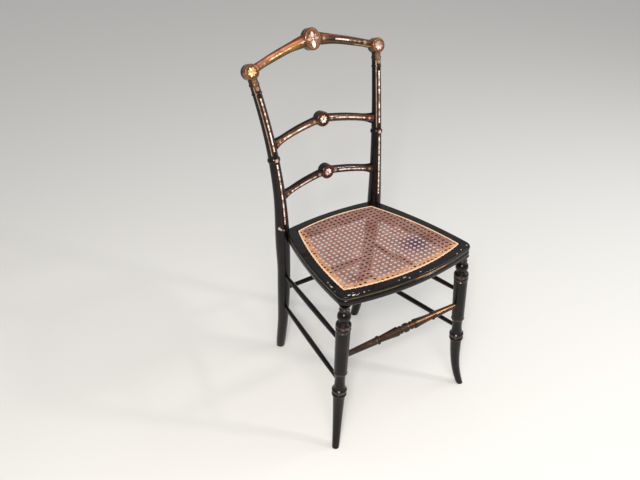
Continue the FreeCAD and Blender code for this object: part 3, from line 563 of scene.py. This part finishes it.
rosettes = {
    # petals: bearing clockwise from straight up, start and tip from the middle in mm, width in mm, shade
    "crestRosette": {
        "stands": "crest_star", "on": "crest", "share": 0, "level": 11.6, "heart": (1.9, "fff4ea"),
        "petals": [
            (-4, 2.6, 17.0, 8.4, "e0c2ac"), (45, 3.4, 14.4, 6.0, "94705c"), (88, 2.8, 15.8, 7.0, "ae8a76"),
            (135, 3.4, 14.2, 6.0, "785848"), (180, 3.0, 21.0, 9.8, "fbe8d8"), (225, 3.4, 14.4, 6.0, "80604e"),
            (270, 2.8, 16.0, 7.2, "b8947e"), (315, 3.4, 14.4, 6.2, "a8826c")]},
    "leftRosette": {
        "stands": "post_star_left", "on": "crest", "share": -1, "level": 11.6, "heart": (1.5, "fff4d8"),
        "petals": evenPetals(1.8, [
            (11.4, 5.6, "d8b070"), (11.0, 5.4, "b88a54"), (11.2, 5.6, "e8c88c"), (11.0, 5.6, "c89c60"),
            (11.6, 6.0, "ffe9c0"), (11.2, 5.6, "f4d8a0"), (11.0, 5.4, "c8a064"), (11.4, 5.8, "f8e0b0")])},
    "rightRosette": {
        "stands": "post_star_right", "on": "crest", "share": 1, "level": 11.6, "heart": (1.5, "f4efe8"),
        "petals": evenPetals(1.8, [
            (11.0, 5.4, "988070"), (11.2, 5.6, "745e50"), (11.4, 5.8, "b09c90"), (11.4, 6.0, "d4c4ba"),
            (11.6, 6.0, "e2d6ce"), (11.2, 5.8, "c8b6aa"), (11.0, 5.6, "b4a296"), (11.0, 5.4, "a08a7c")])},
    "middleRosette": {
        "stands": "middle_star", "on": "middle", "share": 0, "level": 10.6, "heart": (0.9, "3a2a22"),
        "petals": evenPetals(1.5, [
            (10.2, 4.8, "f0a284"), (9.8, 4.6, "e8d8d4"), (9.8, 4.6, "f4eef2"), (10.0, 4.8, "fff6f0"),
            (10.0, 4.8, "f8f4ea"), (9.8, 4.6, "b8b49c"), (9.8, 4.6, "f0f4e8"), (10.2, 4.8, "f4b090")])},
    "lowerRosette": {
        "stands": "lower_star", "on": "lower", "share": 0, "level": 10.6, "heart": (0.9, "4a3030"),
        "petals": evenPetals(1.5, [
            (9.8, 4.8, "f8dccc"), (9.8, 4.6, "fff0e4"), (9.8, 4.8, "f4e0d0"), (9.6, 4.6, "b89a94"),
            (9.6, 4.6, "d8c0c0"), (9.6, 4.6, "c8a4b0"), (9.8, 4.6, "b8909c"), (9.8, 4.6, "e8c4b8")])}}
petal = {"corners": 16, "thickness": 0.7, "slope": 0.90, "pointed": 1.7}


def cutPetal(shell, tint, across, along, front, middle, size, shade, pointed):
    # a flat cone's outline drawn in to two points, its top smaller than its foot
    made = bmesh.ops.create_cone(shell, cap_ends=True, segments=petal["corners"], radius1=1, radius2=petal["slope"],
                                 depth=petal["thickness"] * mm)
    turn = Matrix((across, along, front)).transposed().to_4x4()
    for vert in made["verts"]:
        wide = abs(vert.co.x) ** pointed if vert.co.x else 0
        vert.co.x = math.copysign(wide * size[0] / 2, vert.co.x) * mm
        vert.co.y = vert.co.y * size[1] / 2 * mm
        vert[tint] = shade
    bmesh.ops.transform(shell, matrix=Matrix.Translation(middle) @ turn, verts=made["verts"])


def cutRosette(r):
    shell = bmesh.new()
    tint = shell.verts.layers.float_color.new("tint")
    front = Vector(backLines[r["on"]]["front"])
    upright = Vector((0, front.z, -front.y))
    centre = railPoint(r["on"], r["share"]) + front * (r["level"] + petal["thickness"] / 2) * mm
    for bearing, start, tip, width, shade in r["petals"]:
        angle = math.radians(bearing)
        along = upright * math.cos(angle) + Vector((1, 0, 0)) * math.sin(angle)
        middle = centre + along * (start + tip) / 2 * mm
        cutPetal(shell, tint, along.cross(front), along, front, middle, (width, tip - start), linear(shade),
                 petal["pointed"])
    radius, shade = r["heart"]
    cutPetal(shell, tint, upright.cross(front), upright, front, centre, (radius * 2, radius * 2), linear(shade), 1.0)
    return shell


for name, r in rosettes.items():
    piece = placed(meshFrom(cutRosette(r), name), name, shellFinish)
    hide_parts(r["stands"])
print(len(rosettes), "rosettes cut")


# black lacquered wood, with bronze powder and gilt where each piece has them

lacquer = {
    "black": "0b0a0b", "brownBlack": "1c110d", "bare": "5e4230", "roughness": (0.14, 0.30), "specular": 0.15,
    "grainScale": 900, "coat": 0.19, "coatRoughness": 0.05}


def ebonised(name, stretch, paintOf):
    # spirit lacquer over stained beech: near black, a brown cast where thin, soft gloss, fine rubbed scratches
    finish, add, shader, where = newMaterial(name)
    grain = add("Mapping", {"Vector": where, "Scale": stretch})
    fine = add("TexNoise", {"Vector": grain, "Scale": lacquer["grainScale"], "Detail": 2})       # 1.1 mm across it
    cast = add("TexNoise", {"Vector": where, "Scale": 38, "Detail": 3, "Roughness": 0.6})        # 25 mm clouds
    thin = add("MapRange", [cast, 0.42, 0.72, 0, 0.9])
    colour = add("MixRGB", [thin, linear(lacquer["black"]), linear(lacquer["brownBlack"])])
    knocks = add("TexNoise", {"Vector": where, "Scale": 330, "Detail": 3, "Roughness": 0.7})     # 3 mm chips
    colour = add("MixRGB", [add("MapRange", [knocks, 0.73, 0.77]), colour, linear(lacquer["bare"])])
    if paintOf:
        colour, metal = paintOf(add, where, (colour, 0.0))
        fill(shader, {"Metallic": metal})
    rough = add("MapRange", [cast, 0.3, 0.7, *lacquer["roughness"]])
    bump = add("Bump", {"Height": fine, "Strength": 0.22, "Distance": 0.00015})
    fill(shader, {"Base Color": colour, "Roughness": rough, "IOR": 1.5, "Specular IOR Level": lacquer["specular"],
                  "Coat Weight": lacquer["coat"], "Coat Roughness": lacquer["coatRoughness"], "Normal": bump})
    return finish


def between(add, value, low, high, soft, on):
    # keeps "on" only where a value in metres lies between two bounds in millimetres
    rise = add("MapRange", [value, (low - soft) * mm, low * mm])
    fall = add("MapRange", [value, (high + soft) * mm, high * mm])
    both = add("Math", [rise, fall], "MULTIPLY")
    return add("Math", [both, on], "MULTIPLY")


def laidOn(add, where, coat, place, layer, on=1.0):
    # bronze powder in bands across a distance in millimetres; each stop has a colour and how fully it covers;
    # "rub" is how many rubbed places there are to the metre (110 is 9 mm each), "least" how much is left in them
    colour, shine = coat
    start, end = layer["stops"][0][0], layer["stops"][-1][0]
    share = add("MapRange", [place, start * mm, end * mm])
    stops = [((at - start) / (end - start), tint, cover) for at, tint, cover in layer["stops"]]
    ramp = add("ValToRGB", [share], stops=stops)
    rub = add("TexNoise", {"Vector": where, "Scale": layer["rub"], "Detail": 4, "Roughness": 0.65})
    kept = add("MapRange", [rub, 0.36, 0.56, layer["least"]])
    cover = add("Math", [ramp.outputs["Alpha"], kept], "MULTIPLY")
    cover = add("Math", [cover, on], "MULTIPLY")
    colour = add("MixRGB", [cover, colour, ramp])
    shine = add("Math", [cover, layer["metal"], shine], "MULTIPLY_ADD", use_clamp=True)
    return colour, shine


def wornSpotsAndGlints(add, where, colour, spots, on=1.0):
    # pale broken places, worn chips and, on the seat, painted highlight glints; each spot a place in metres and a size
    # in millimetres, ragged at its edge
    ragged = add("TexNoise", {"Vector": where, "Scale": 420, "Detail": 2}).outputs["Color"]      # 2.4 mm teeth
    ragged = add("VectorMath", [ragged, (0.5, 0.5, 0.5)], "SUBTRACT")
    ragged = add("VectorMath", [ragged, (0.006, 0.006, 0.006)], "MULTIPLY")
    stretch = Vector(spots.get("stretch", (1, 1, 1)))
    place = add("VectorMath", [where, ragged], "ADD")
    place = add("VectorMath", [place, stretch], "MULTIPLY")
    nearest = 1.0
    for spot in spots["places"]:
        away = add("VectorMath", [place, Vector(spot[:3]) * stretch], "DISTANCE")
        scaled = add("Math", [away, spot[3] * mm], "DIVIDE")
        nearest = add("Math", [scaled, nearest], "MINIMUM")
    cover = add("MapRange", [nearest, 1.0, 0.6])
    cover = add("Math", [cover, on], "MULTIPLY")
    tone = add("TexNoise", {"Vector": where, "Scale": 700, "Detail": 1})                         # 1.4 mm
    return add("MixRGB", [cover, colour, add("ValToRGB", [tone], stops=spots["shades"])])


def backPaint(layers, across, front, worn=None):
    # each layer is bands across the piece, or rings round a centre, oval where they are squeezed; "side" keeps it to
    # one half of the chair, "reach" between two distances from its middle, "heights" between two levels, all in mm
    def lay(add, where, coat):
        x, y, z = add("SeparateXYZ", [where]).outputs
        mirrored = add("VectorMath", [where], "ABSOLUTE")
        far = add("Math", [x], "ABSOLUTE")
        band, facing = across(add, where, (x, y, z), far)
        for layer in layers:
            on, place = facing, band
            if "side" in layer:
                half = add("MapRange", [x, -0.004 * layer["side"], 0.004 * layer["side"]])
                on = add("Math", [half, on], "MULTIPLY")
            if "reach" in layer:
                on = between(add, far, *layer["reach"], 8, on)
            if "heights" in layer:
                on = between(add, z, *layer["heights"], 2, on)
            if "centre" in layer:
                away = add("VectorMath", [mirrored, layer["centre"]], "SUBTRACT")
                away = add("VectorMath", [away, layer.get("squeeze", (1, 1, 1))], "MULTIPLY")
                away = add("VectorMath", [away, front], "CROSS_PRODUCT")
                place = add("VectorMath", [away], "LENGTH")
            coat = laidOn(add, where, coat, place, layer, on)
        colour, shine = coat
        return (wornSpotsAndGlints(add, where, colour, worn), shine) if worn else coat
    return lay


def acrossRail(rail):
    # the height above the rail's own curved axis, and whether a place is on the front half
    r = backLines[rail]
    end, middle, front = r["end"], r["middle"], Vector(r["front"])
    upright = Vector((0, front.z, -front.y))

    def measure(add, where, xyz, far):
        share = add("Math", [far, end[0]], "DIVIDE")
        bow = add("Math", [share, r["bow"]], "POWER")
        rise = add("Math", [share, r["rise"]], "POWER")
        y = add("Math", [bow, end[1] - middle[0], middle[0]], "MULTIPLY_ADD")
        z = add("Math", [rise, end[2] - middle[1], middle[1]], "MULTIPLY_ADD")
        axis = add("CombineXYZ", [xyz[0], y, z])
        away = add("VectorMath", [where, axis], "SUBTRACT")
        height = add("VectorMath", [away, upright], "DOT_PRODUCT")
        depth = add("VectorMath", [away, front], "DOT_PRODUCT")
        return height, add("MapRange", [depth, -0.001, 0.002])
    return measure


def acrossPost(add, where, xyz, far):
    # how far to the right of the post's curved axis, and whether a place is on its front above the seat
    x, y, z = xyz
    s, t = backLines["post"]["seat"], backLines["post"]["top"]
    share = add("MapRange", [z, s[2], t[2]])
    square = add("Math", [share, 2.0], "POWER")
    lean = add("Math", [square, t[0] - s[0], s[0]], "MULTIPLY_ADD")
    rake = add("Math", [square, t[1] - s[1], s[1]], "MULTIPLY_ADD")
    outward = add("Math", [far, lean], "SUBTRACT")
    half = add("Math", [x], "SIGN")
    away = add("Math", [outward, half], "MULTIPLY")
    depth = add("Math", [rake, y], "SUBTRACT")
    facing = add("MapRange", [depth, 0.0, 0.003])
    above = add("MapRange", [z, s[2], s[2] + 0.02])
    return away, add("Math", [facing, above], "MULTIPLY")


def ringsRound(place, disc="8a6248", rim="a8866c"):
    # a brown disc with a paler rim round a pearl dot
    return {"centre": place, "rub": 200, "least": 0.5, "metal": 0.25, "stops": [
        (0, disc, 1.0), (3.3, disc, 1.0), (3.9, rim, 0.85), (4.6, rim, 0.75), (5.3, "2a1a12", 0.6),
        (6.4, "2a1a12", 0.0), (8, "2a1a12", 0.0)]}


decoration = {
    "crest": [
        # left arm: bronze powder, its upper front band (4 to 8 mm) painted bright salmon, partly a painted highlight of
        # light falling on it
        {"side": -1, "rub": 70, "least": 0.50, "metal": 0.30, "stops": [
            (-18, "2a1a10", 0.5), (-10, "2a1c0e", 0.8), (-7.4, "524224", 0.9), (-4.6, "766030", 0.95),
            (-2.6, "8a6438", 0.95), (2.4, "aa6844", 0.95), (4.0, "d28264", 1.0), (6.4, "e89a7c", 1.0),
            (8.0, "b8684c", 0.95), (9.4, "622e22", 0.8), (11.5, "2c120c", 0.5), (18, "141010", 0.2)]},
        {"side": -1, "reach": (0, 62), "rub": 80, "least": 0.35, "metal": 0.30, "stops": [
            (-18, "2a2610", 0.4), (-8, "685c26", 0.7), (-3, "a08040", 0.85), (2, "b07e42", 0.8), (6, "d87c50", 0.3),
            (18, "7a3020", 0.0)]},
        # right arm: the same bronze painted darker, without the left arm's painted highlight
        {"side": 1, "rub": 80, "least": 0.40, "metal": 0.30, "stops": [
            (-18, "2a1a10", 0.3), (-9.6, "3a281a", 0.6), (-7.4, "6a4e34", 0.75), (-4.4, "46361e", 0.8),
            (-2.4, "3c2a14", 0.85), (2.6, "4e3620", 0.85), (5.6, "40281a", 0.8), (7.4, "74402a", 0.9),
            (9.0, "a4664a", 0.85), (10.4, "44241a", 0.5), (18, "141010", 0.2)]},
        {"side": 1, "reach": (112, 152), "rub": 160, "least": 0.4, "metal": 0.4, "stops": [
            (-12, "2a1a10", 0.0), (-8.6, "c89a5c", 0.0), (-7.9, "e8c088", 0.95), (-6.9, "d8a868", 0.9),
            (-6.2, "8a6640", 0.0), (0, "8a6640", 0.0)]},
        {"reach": (0, 36), "rub": 90, "least": 0.4, "metal": 0.25, "stops": [
            (-18, "3a2416", 0.5), (-8, "5a4426", 0.6), (0, "7a5236", 0.5), (8, "9a5c3a", 0.5), (14, "5a2c1c", 0.5),
            (18, "2a1610", 0.3)]},
        # the crest boss: bronze all over, with a paler ring near its rim that is partly a painted highlight on the rim
        {"centre": (0, 0.211, 0.844), "squeeze": (1, 0.843, 0.843), "rub": 150, "least": 0.55,
         "metal": 0.25, "stops": [
            (0, "4a3424", 1.0), (8, "6c4c34", 1.0), (14, "5e402c", 1.0), (17.4, "765036", 1.0), (18.6, "986a4a", 0.9),
            (20.2, "7c5238", 0.85), (21.8, "623e28", 0.85), (24, "4a2e1e", 0.5), (30, "442a18", 0.0)]},
        # the boss at the post's top: the same, its paler rim ring partly a painted highlight
        {"centre": (0.1715, 0.188, 0.806), "rub": 150, "least": 0.5, "metal": 0.25, "stops": [
            (0, "4c3422", 1.0), (9, "6c482e", 1.0), (13.8, "68442a", 1.0), (14.8, "986a46", 0.9), (16.6, "805436", 0.9),
            (18.2, "684026", 0.85), (20, "4a2c1c", 0.5), (26, "362214", 0.0)]},
        ringsRound((0.0286, 0.199, 0.8444)), ringsRound((0.1367, 0.185, 0.8196), "8a5e40")],
    "middle": [
        # bands across the rail; the pale purple-grey band low on the front is partly a painted sheen of reflected light
        {"rub": 110, "least": 0.30, "metal": 0.30, "stops": [
            (-18, "1a1418", 0.2), (-9.2, "241a20", 0.5), (-7.8, "5a4850", 0.6), (-6.6, "94787a", 0.75),
            (-5.6, "4a2420", 0.85), (-3.4, "28160e", 0.9), (-2.4, "765432", 0.9), (2.4, "70522c", 0.9),
            (3.4, "4a2a16", 0.95), (5.0, "5a3222", 0.9), (6.4, "765040", 0.75), (7.6, "362026", 0.5),
            (9.2, "1a1014", 0.3), (18, "1a1012", 0.0)]},
        {"side": -1, "rub": 140, "least": 0.2, "metal": 0.35, "stops": [
            (-8, "8a5a30", 0.0), (-4.2, "8a5a30", 0.0), (-3.2, "c07c44", 0.75), (-2.4, "d0904e", 0.9),
            (0, "8a5430", 0.0), (8, "8a5430", 0.0)]},
        # the middle boss: its paler rim ring partly a painted highlight
        {"centre": (0, 0.165, 0.6652), "rub": 150, "least": 0.35, "metal": 0.25, "stops": [
            (0, "2a1a14", 1.0), (10.0, "4a2e1e", 1.0), (13.8, "3a2218", 0.95), (14.8, "6e4430", 0.85),
            (16.8, "462618", 0.7), (19, "221410", 0.2), (26, "1a1010", 0.0)]},
        ringsRound((0.0246, 0.156, 0.6643), "7a6050", "8a7464"),
        ringsRound((0.1267, 0.1417, 0.6451), "8a4a34", "7a4634")],
    "lower": [
        # bands across the rail; the pale purple-grey band low on the front is partly a painted sheen of reflected light
        {"rub": 110, "least": 0.25, "metal": 0.30, "stops": [
            (-18, "16121a", 0.2), (-9.2, "201a22", 0.5), (-7.6, "4a3e4a", 0.6), (-6.2, "6e5a60", 0.6),
            (-5.2, "3e2220", 0.8), (-3.4, "261710", 0.85), (-2.4, "765434", 0.85), (2.4, "563c28", 0.8),
            (3.4, "382016", 0.9), (5.0, "4a2c22", 0.85), (6.4, "442a26", 0.6), (7.8, "221418", 0.4),
            (18, "121012", 0.0)]},
        # the lower boss: its paler rim ring partly a painted highlight
        {"centre": (0, 0.1435, 0.5348), "rub": 150, "least": 0.35, "metal": 0.25, "stops": [
            (0, "3a2626", 1.0), (10.0, "553230", 1.0), (13.8, "4a2822", 0.95), (14.8, "7e4836", 0.85),
            (16.8, "44221a", 0.6), (19, "1c1210", 0.1), (26, "1a1010", 0.0)]},
        ringsRound((0.0232, 0.1347, 0.5331), "7a6050", "8a7464"),
        ringsRound((0.1196, 0.1232, 0.5148), "6e4a36", "5a4232")],
    "post": [
        # dark brown beside the pearl all the way up, with a grey line to its right that is partly a painted reflection
        # on the post's edge; in the upper part pale lines on both sides of it, part gilt and part painted highlight,
        # the left one brighter as if lit from the left
        {"rub": 110, "least": 0.30, "metal": 0.15, "stops": [
            (-18, "141010", 0.0), (-9.0, "1c1412", 0.2), (-6.0, "261a16", 0.5), (-4.2, "3a261a", 0.7),
            (-2.6, "1a100a", 0.9), (2.6, "20120c", 0.95), (4.4, "301e16", 0.8), (6.0, "2a1c1c", 0.6),
            (7.4, "5a4a4a", 0.5), (8.6, "1e1616", 0.3), (18, "141010", 0.0)]},
        {"heights": (622, 776), "rub": 110, "least": 0.45, "metal": 0.30, "stops": [
            (-18, "1a1210", 0.0), (-8.6, "241612", 0.1), (-7.9, "a08878", 0.85), (-6.9, "ccb0a2", 0.95),
            (-6.2, "281610", 0.85), (-4.4, "52341c", 0.85), (-2.6, "2e1c0e", 0.8), (2.6, "2a160e", 0.8),
            (4.6, "442c20", 0.8), (6.0, "3a2020", 0.75), (7.2, "86686a", 0.65), (8.2, "3a2626", 0.4),
            (9.4, "1e1412", 0.1), (18, "1a1210", 0.0)]},
        {"heights": (776, 800), "rub": 140, "least": 0.4, "metal": 0.25, "stops": [
            (-18, "2a1c14", 0.3), (-7, "503620", 0.7), (-5, "9c7858", 0.9), (4, "8a6444", 0.9), (6.4, "462c1c", 0.7),
            (18, "2a1a12", 0.2)]},
        ringsRound((0.1659, 0.1661, 0.7732)), ringsRound((0.1474, 0.1238, 0.6094))]}
postWear = {"places": [(-0.1538, 0.1131, 0.4330, 4.5), (-0.1500, 0.1100, 0.4300, 3.5), (-0.1440, 0.1067, 0.4285, 2.0)],
            "shades": [(0.35, "7a6a62"), (0.5, "c8b4a8"), (0.65, "e4d4cc")]}


def onSeat(spots):
    # spots given by X, Y and size in millimetres, set on the slanted top of the frame
    slope = seat["fall"] / (seat["backY"] - seat["frontY"])
    return [(x * mm, y * mm, (seat["height"] - slope * (y - seat["frontY"])) * mm, size) for x, y, size in spots]


# pale spots on the top by the front nosing, drawn out along the edge: partly worn chips, partly painted highlight
# glints
frontWearAndGlints = {
    "places": onSeat([
        (-164.6, -197.9, 2.2), (-156.4, -203.3, 2.6), (-149.3, -207.0, 1.8), (-143.3, -205.9, 1.1),
        (-132.0, -207.5, 1.3), (-121.0, -209.1, 1.1), (-188.5, -209.0, 1.5), (-180.7, -210.2, 1.5),
        (-45.3, -214.9, 1.5), (-28.9, -213.3, 2.2), (-20.3, -220.8, 1.4), (14.0, -215.8, 1.6), (129.1, -206.2, 1.6),
        (148.3, -198.6, 1.4), (172.1, -191.6, 1.7), (-152.2, -195.9, 0.9)]),
    "stretch": (0.55, 1, 1), "shades": [(0.35, "8a7a72"), (0.48, "d8c8b8"), (0.62, "f4ece4")]}
# the same along the left side rail: partly worn chips, partly painted highlight glints
sideWearAndGlints = {
    "places": onSeat([
        (-175.2, -133.6, 1.5), (-178.1, -151.6, 1.9), (-176.6, -143.0, 1.0), (-182.0, -170.0, 0.9)]),
    "stretch": (1, 0.5, 1), "shades": [(0.35, "8a7a72"), (0.48, "c8bab0"), (0.62, "ece4dc")]}
giltLine = {
    # the line in the groove under the nosing: where along the front in mm, how fully it covers, edge and heart
    "worn gold": ((-170, -55), 0.7, "565028", "82743a"), "dark": ((-45, 0), 0.35, "5a3a1c", "8a5c2c"),
    "bright": ((8, 82), 1.0, "c87a34", "f0a458"), "olive": ((95, 165), 0.45, "4a4220", "7a6a34")}


def seatPaint(add, where, coat):
    # a gilt line in the groove under the nosing, broken and best kept right of the middle, then brown worn knocks and
    # pale spots that are partly wear and partly painted highlight glints
    x, y = add("SeparateXYZ", [where]).outputs[:2]
    hinge = (0, seat["frontY"] * mm, seat["height"] * mm)
    away = add("VectorMath", [where, hinge], "SUBTRACT")
    normal = Vector((0, math.sin(seatSlope), math.cos(seatSlope)))
    level = add("VectorMath", [away, normal], "DOT_PRODUCT")
    groove = add("Math", [level, 0.009], "ADD")          # 9 mm below the top
    ahead = add("MapRange", [y, -0.15, -0.19])
    for reach, cover, edge, heart in giltLine.values():
        on = between(add, x, *reach, 14, ahead)
        coat = laidOn(add, where, coat, groove, {"rub": 60, "least": 0.45, "metal": 0.35, "stops": [
            (-6, edge, 0.0), (-2.2, edge, 0.0), (-1.4, edge, 0.8 * cover), (-0.2, heart, cover), (0.8, heart, cover),
            (1.4, edge, 0.6 * cover), (2.2, edge, 0.0), (6, edge, 0.0)]}, on)
    colour, shine = coat
    knocks = add("TexNoise", {"Vector": where, "Scale": 240, "Detail": 4, "Roughness": 0.75})    # 4 mm
    worn = between(add, level, -7, 1, 1, add("MapRange", [knocks, 0.66, 0.70]))
    worn = add("Math", [worn, ahead], "MULTIPLY")
    colour = add("MixRGB", [worn, colour, linear("7a5a4a")])
    top = add("MapRange", [level, -0.008, -0.006])
    colour = wornSpotsAndGlints(add, where, colour, sideWearAndGlints, top)
    return wornSpotsAndGlints(add, where, colour, frontWearAndGlints, top), shine


def stretcherPaint(add, where, coat):
    # brown all round, with one gold line along the upper front over copper red, kept on the right half
    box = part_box("front_stretcher")
    axis = (Vector(box[0]) + Vector(box[1])) / 2
    away = add("VectorMath", [where, (0, axis.y, axis.z)], "SUBTRACT")
    across = add("VectorMath", [away, Vector((0, 0.80, 0.60))], "DOT_PRODUCT")
    ahead = add("VectorMath", [away, Vector((0, -0.60, 0.80))], "DOT_PRODUCT")
    facing = add("MapRange", [ahead, -0.002, 0.003])
    coat = laidOn(add, where, coat, across, {"rub": 50, "least": 0.35, "metal": 0.25, "stops": [
        (-14, "241814", 0.3), (-6, "3a2a22", 0.6), (-2, "564030", 0.7), (3, "5c4232", 0.7), (7, "3a261c", 0.5),
        (14, "241614", 0.2)]}, facing)
    right = between(add, add("SeparateXYZ", [where]).outputs["X"], 45, 150, 45, facing)
    return laidOn(add, where, coat, across, {"rub": 90, "least": 0.45, "metal": 0.35, "stops": [
        (-4, "4a1c14", 0.0), (-2.8, "66281a", 0.6), (-1.4, "864028", 0.75), (-0.5, "9c6438", 0.85),
        (0.4, "cca060", 0.9), (1.2, "b08448", 0.8), (2.0, "6a4428", 0.6), (3.2, "4a2e20", 0.4),
        (6, "4a2e20", 0.0)]}, right)


def legPaint(add, where, coat):
    # a little bronze left on the crowns of the turned rings
    y, z = add("SeparateXYZ", [where]).outputs[1:]
    height = add("Math", [z, -legMiddle * mm], "ADD")
    ahead = add("MapRange", [y, -0.186, -0.200])
    return laidOn(add, where, coat, height, {"rub": 170, "least": 0.0, "metal": 0.3, "stops": legStops}, ahead)


# heights of the rings' crowns in mm, and their tints
legRings = [(163.0, 170.0, "8a7058"), (218.0, 224.0, "6e5a48"), (340.0, 345.0, "7a6450"), (352.0, 358.0, "9a7a64"),
            (398.0, 402.0, "7a5c48")]
legMiddle = 280       # the bands count from this height
legStops = [(-150, "8a7058", 0.0), (150, "7a5c48", 0.0)]
for low, high, tint in legRings:
    low, high = low - legMiddle, high - legMiddle
    legStops[-1:-1] = [(low - 1, tint, 0.0), (low, tint, 0.3), (high, tint, 0.3), (high + 1, tint, 0.0)]


def paintRail(rail):
    return backPaint(decoration[rail], acrossRail(rail), backLines[rail]["front"])


# which way the grain runs: its pattern is drawn out where the scale is small
across, along, upright = (0.05, 1, 1), (1, 0.05, 1), (1, 1, 0.05)
postPaint = backPaint(decoration["post"], acrossPost, (0, -0.97, 0.24), postWear)
for name, grain, paintOf, nodes in (
        ("crestLacquer", across, paintRail("crest"), ["crest_rail"]),
        ("middleRailLacquer", across, paintRail("middle"), ["middle_cross_rail"]),
        ("lowerRailLacquer", across, paintRail("lower"), ["lower_cross_rail"]),
        ("postLacquer", upright, postPaint, ["rear_post_left", "rear_post_right"]),
        ("legLacquer", upright, legPaint, ["front_leg_left", "front_leg_right"]),
        ("frontStretcherLacquer", across, stretcherPaint, ["front_stretcher"]),
        ("rearStretcherLacquer", across, None, ["rear_stretcher"]),
        ("sideStretcherLacquer", along, None, [node for node in cadNodes if node.startswith("side_stretcher")]),
        ("seatLacquerAcross", across, seatPaint, ["seat_front_rail", "seat_back_rail"]),
        ("seatLacquerAlong", along, seatPaint, ["seat_side_rail_left", "seat_side_rail_right"]),
        ("dowelWood", upright, None, ["seat_dowels"])):
    finish = ebonised(name, grain, paintOf)
    for node in nodes:
        paint(node, finish)
print("materials laid on")


# floor, world and soft studio lights

studio = {
    "floor": "e6e4e0", "floorSize": 14.0, "floorDrop": 0.0005, "worldStrength": 0.52, "world": "f4f5f7",
    "aim": (0, 0, 0.45), "lamps": [
        {"name": "skyPanel", "place": (-1.2, -1.6, 2.6), "size": 1.6, "power": 44, "colour": "fffaf2"},
        {"name": "fillPanel", "place": (2.0, -0.8, 1.9), "size": 1.4, "power": 16, "colour": "f4f8ff"},
        {"name": "sparkLamp", "place": (-1.15, -1.35, 1.75), "size": 0.20, "power": 20, "colour": "fffdf8"},
        {"name": "rightSpark", "place": (1.5, -1.6, 1.6), "size": 0.18, "power": 12, "colour": "fffdf8"}]}


def makeStudio(s):
    ground = bmesh.new()
    bmesh.ops.create_grid(ground, x_segments=1, y_segments=1, size=s["floorSize"] / 2)
    mesh = meshFrom(ground, "studioFloor")
    floor = intoScene("studioFloor", mesh)
    finish = bpy.data.materials.new("studioPaper")
    finish.use_nodes = True
    fill(finish.node_tree.nodes["Principled BSDF"], {"Base Color": linear(s["floor"]), "Roughness": 0.9})
    mesh.materials.append(finish)
    floor.location.z = -s["floorDrop"]
    world = bpy.data.worlds.new("studioAir")
    world.use_nodes = True
    bpy.context.scene.world = world
    fill(world.node_tree.nodes["Background"], {"Color": linear(s["world"]), "Strength": s["worldStrength"]})
    for lamp in s["lamps"]:
        data = bpy.data.lights.new(lamp["name"], "AREA")
        data.size = lamp["size"]
        data.energy = lamp["power"]
        data.color = linear(lamp["colour"])[:3]
        light = intoScene(lamp["name"], data)
        light.location = lamp["place"]
        light.rotation_mode = "QUATERNION"
        light.rotation_quaternion = (Vector(s["aim"]) - Vector(lamp["place"])).to_track_quat("-Z", "Y")


makeStudio(studio)
bpy.context.scene.view_settings.view_transform = "Standard"
print("studio lit")
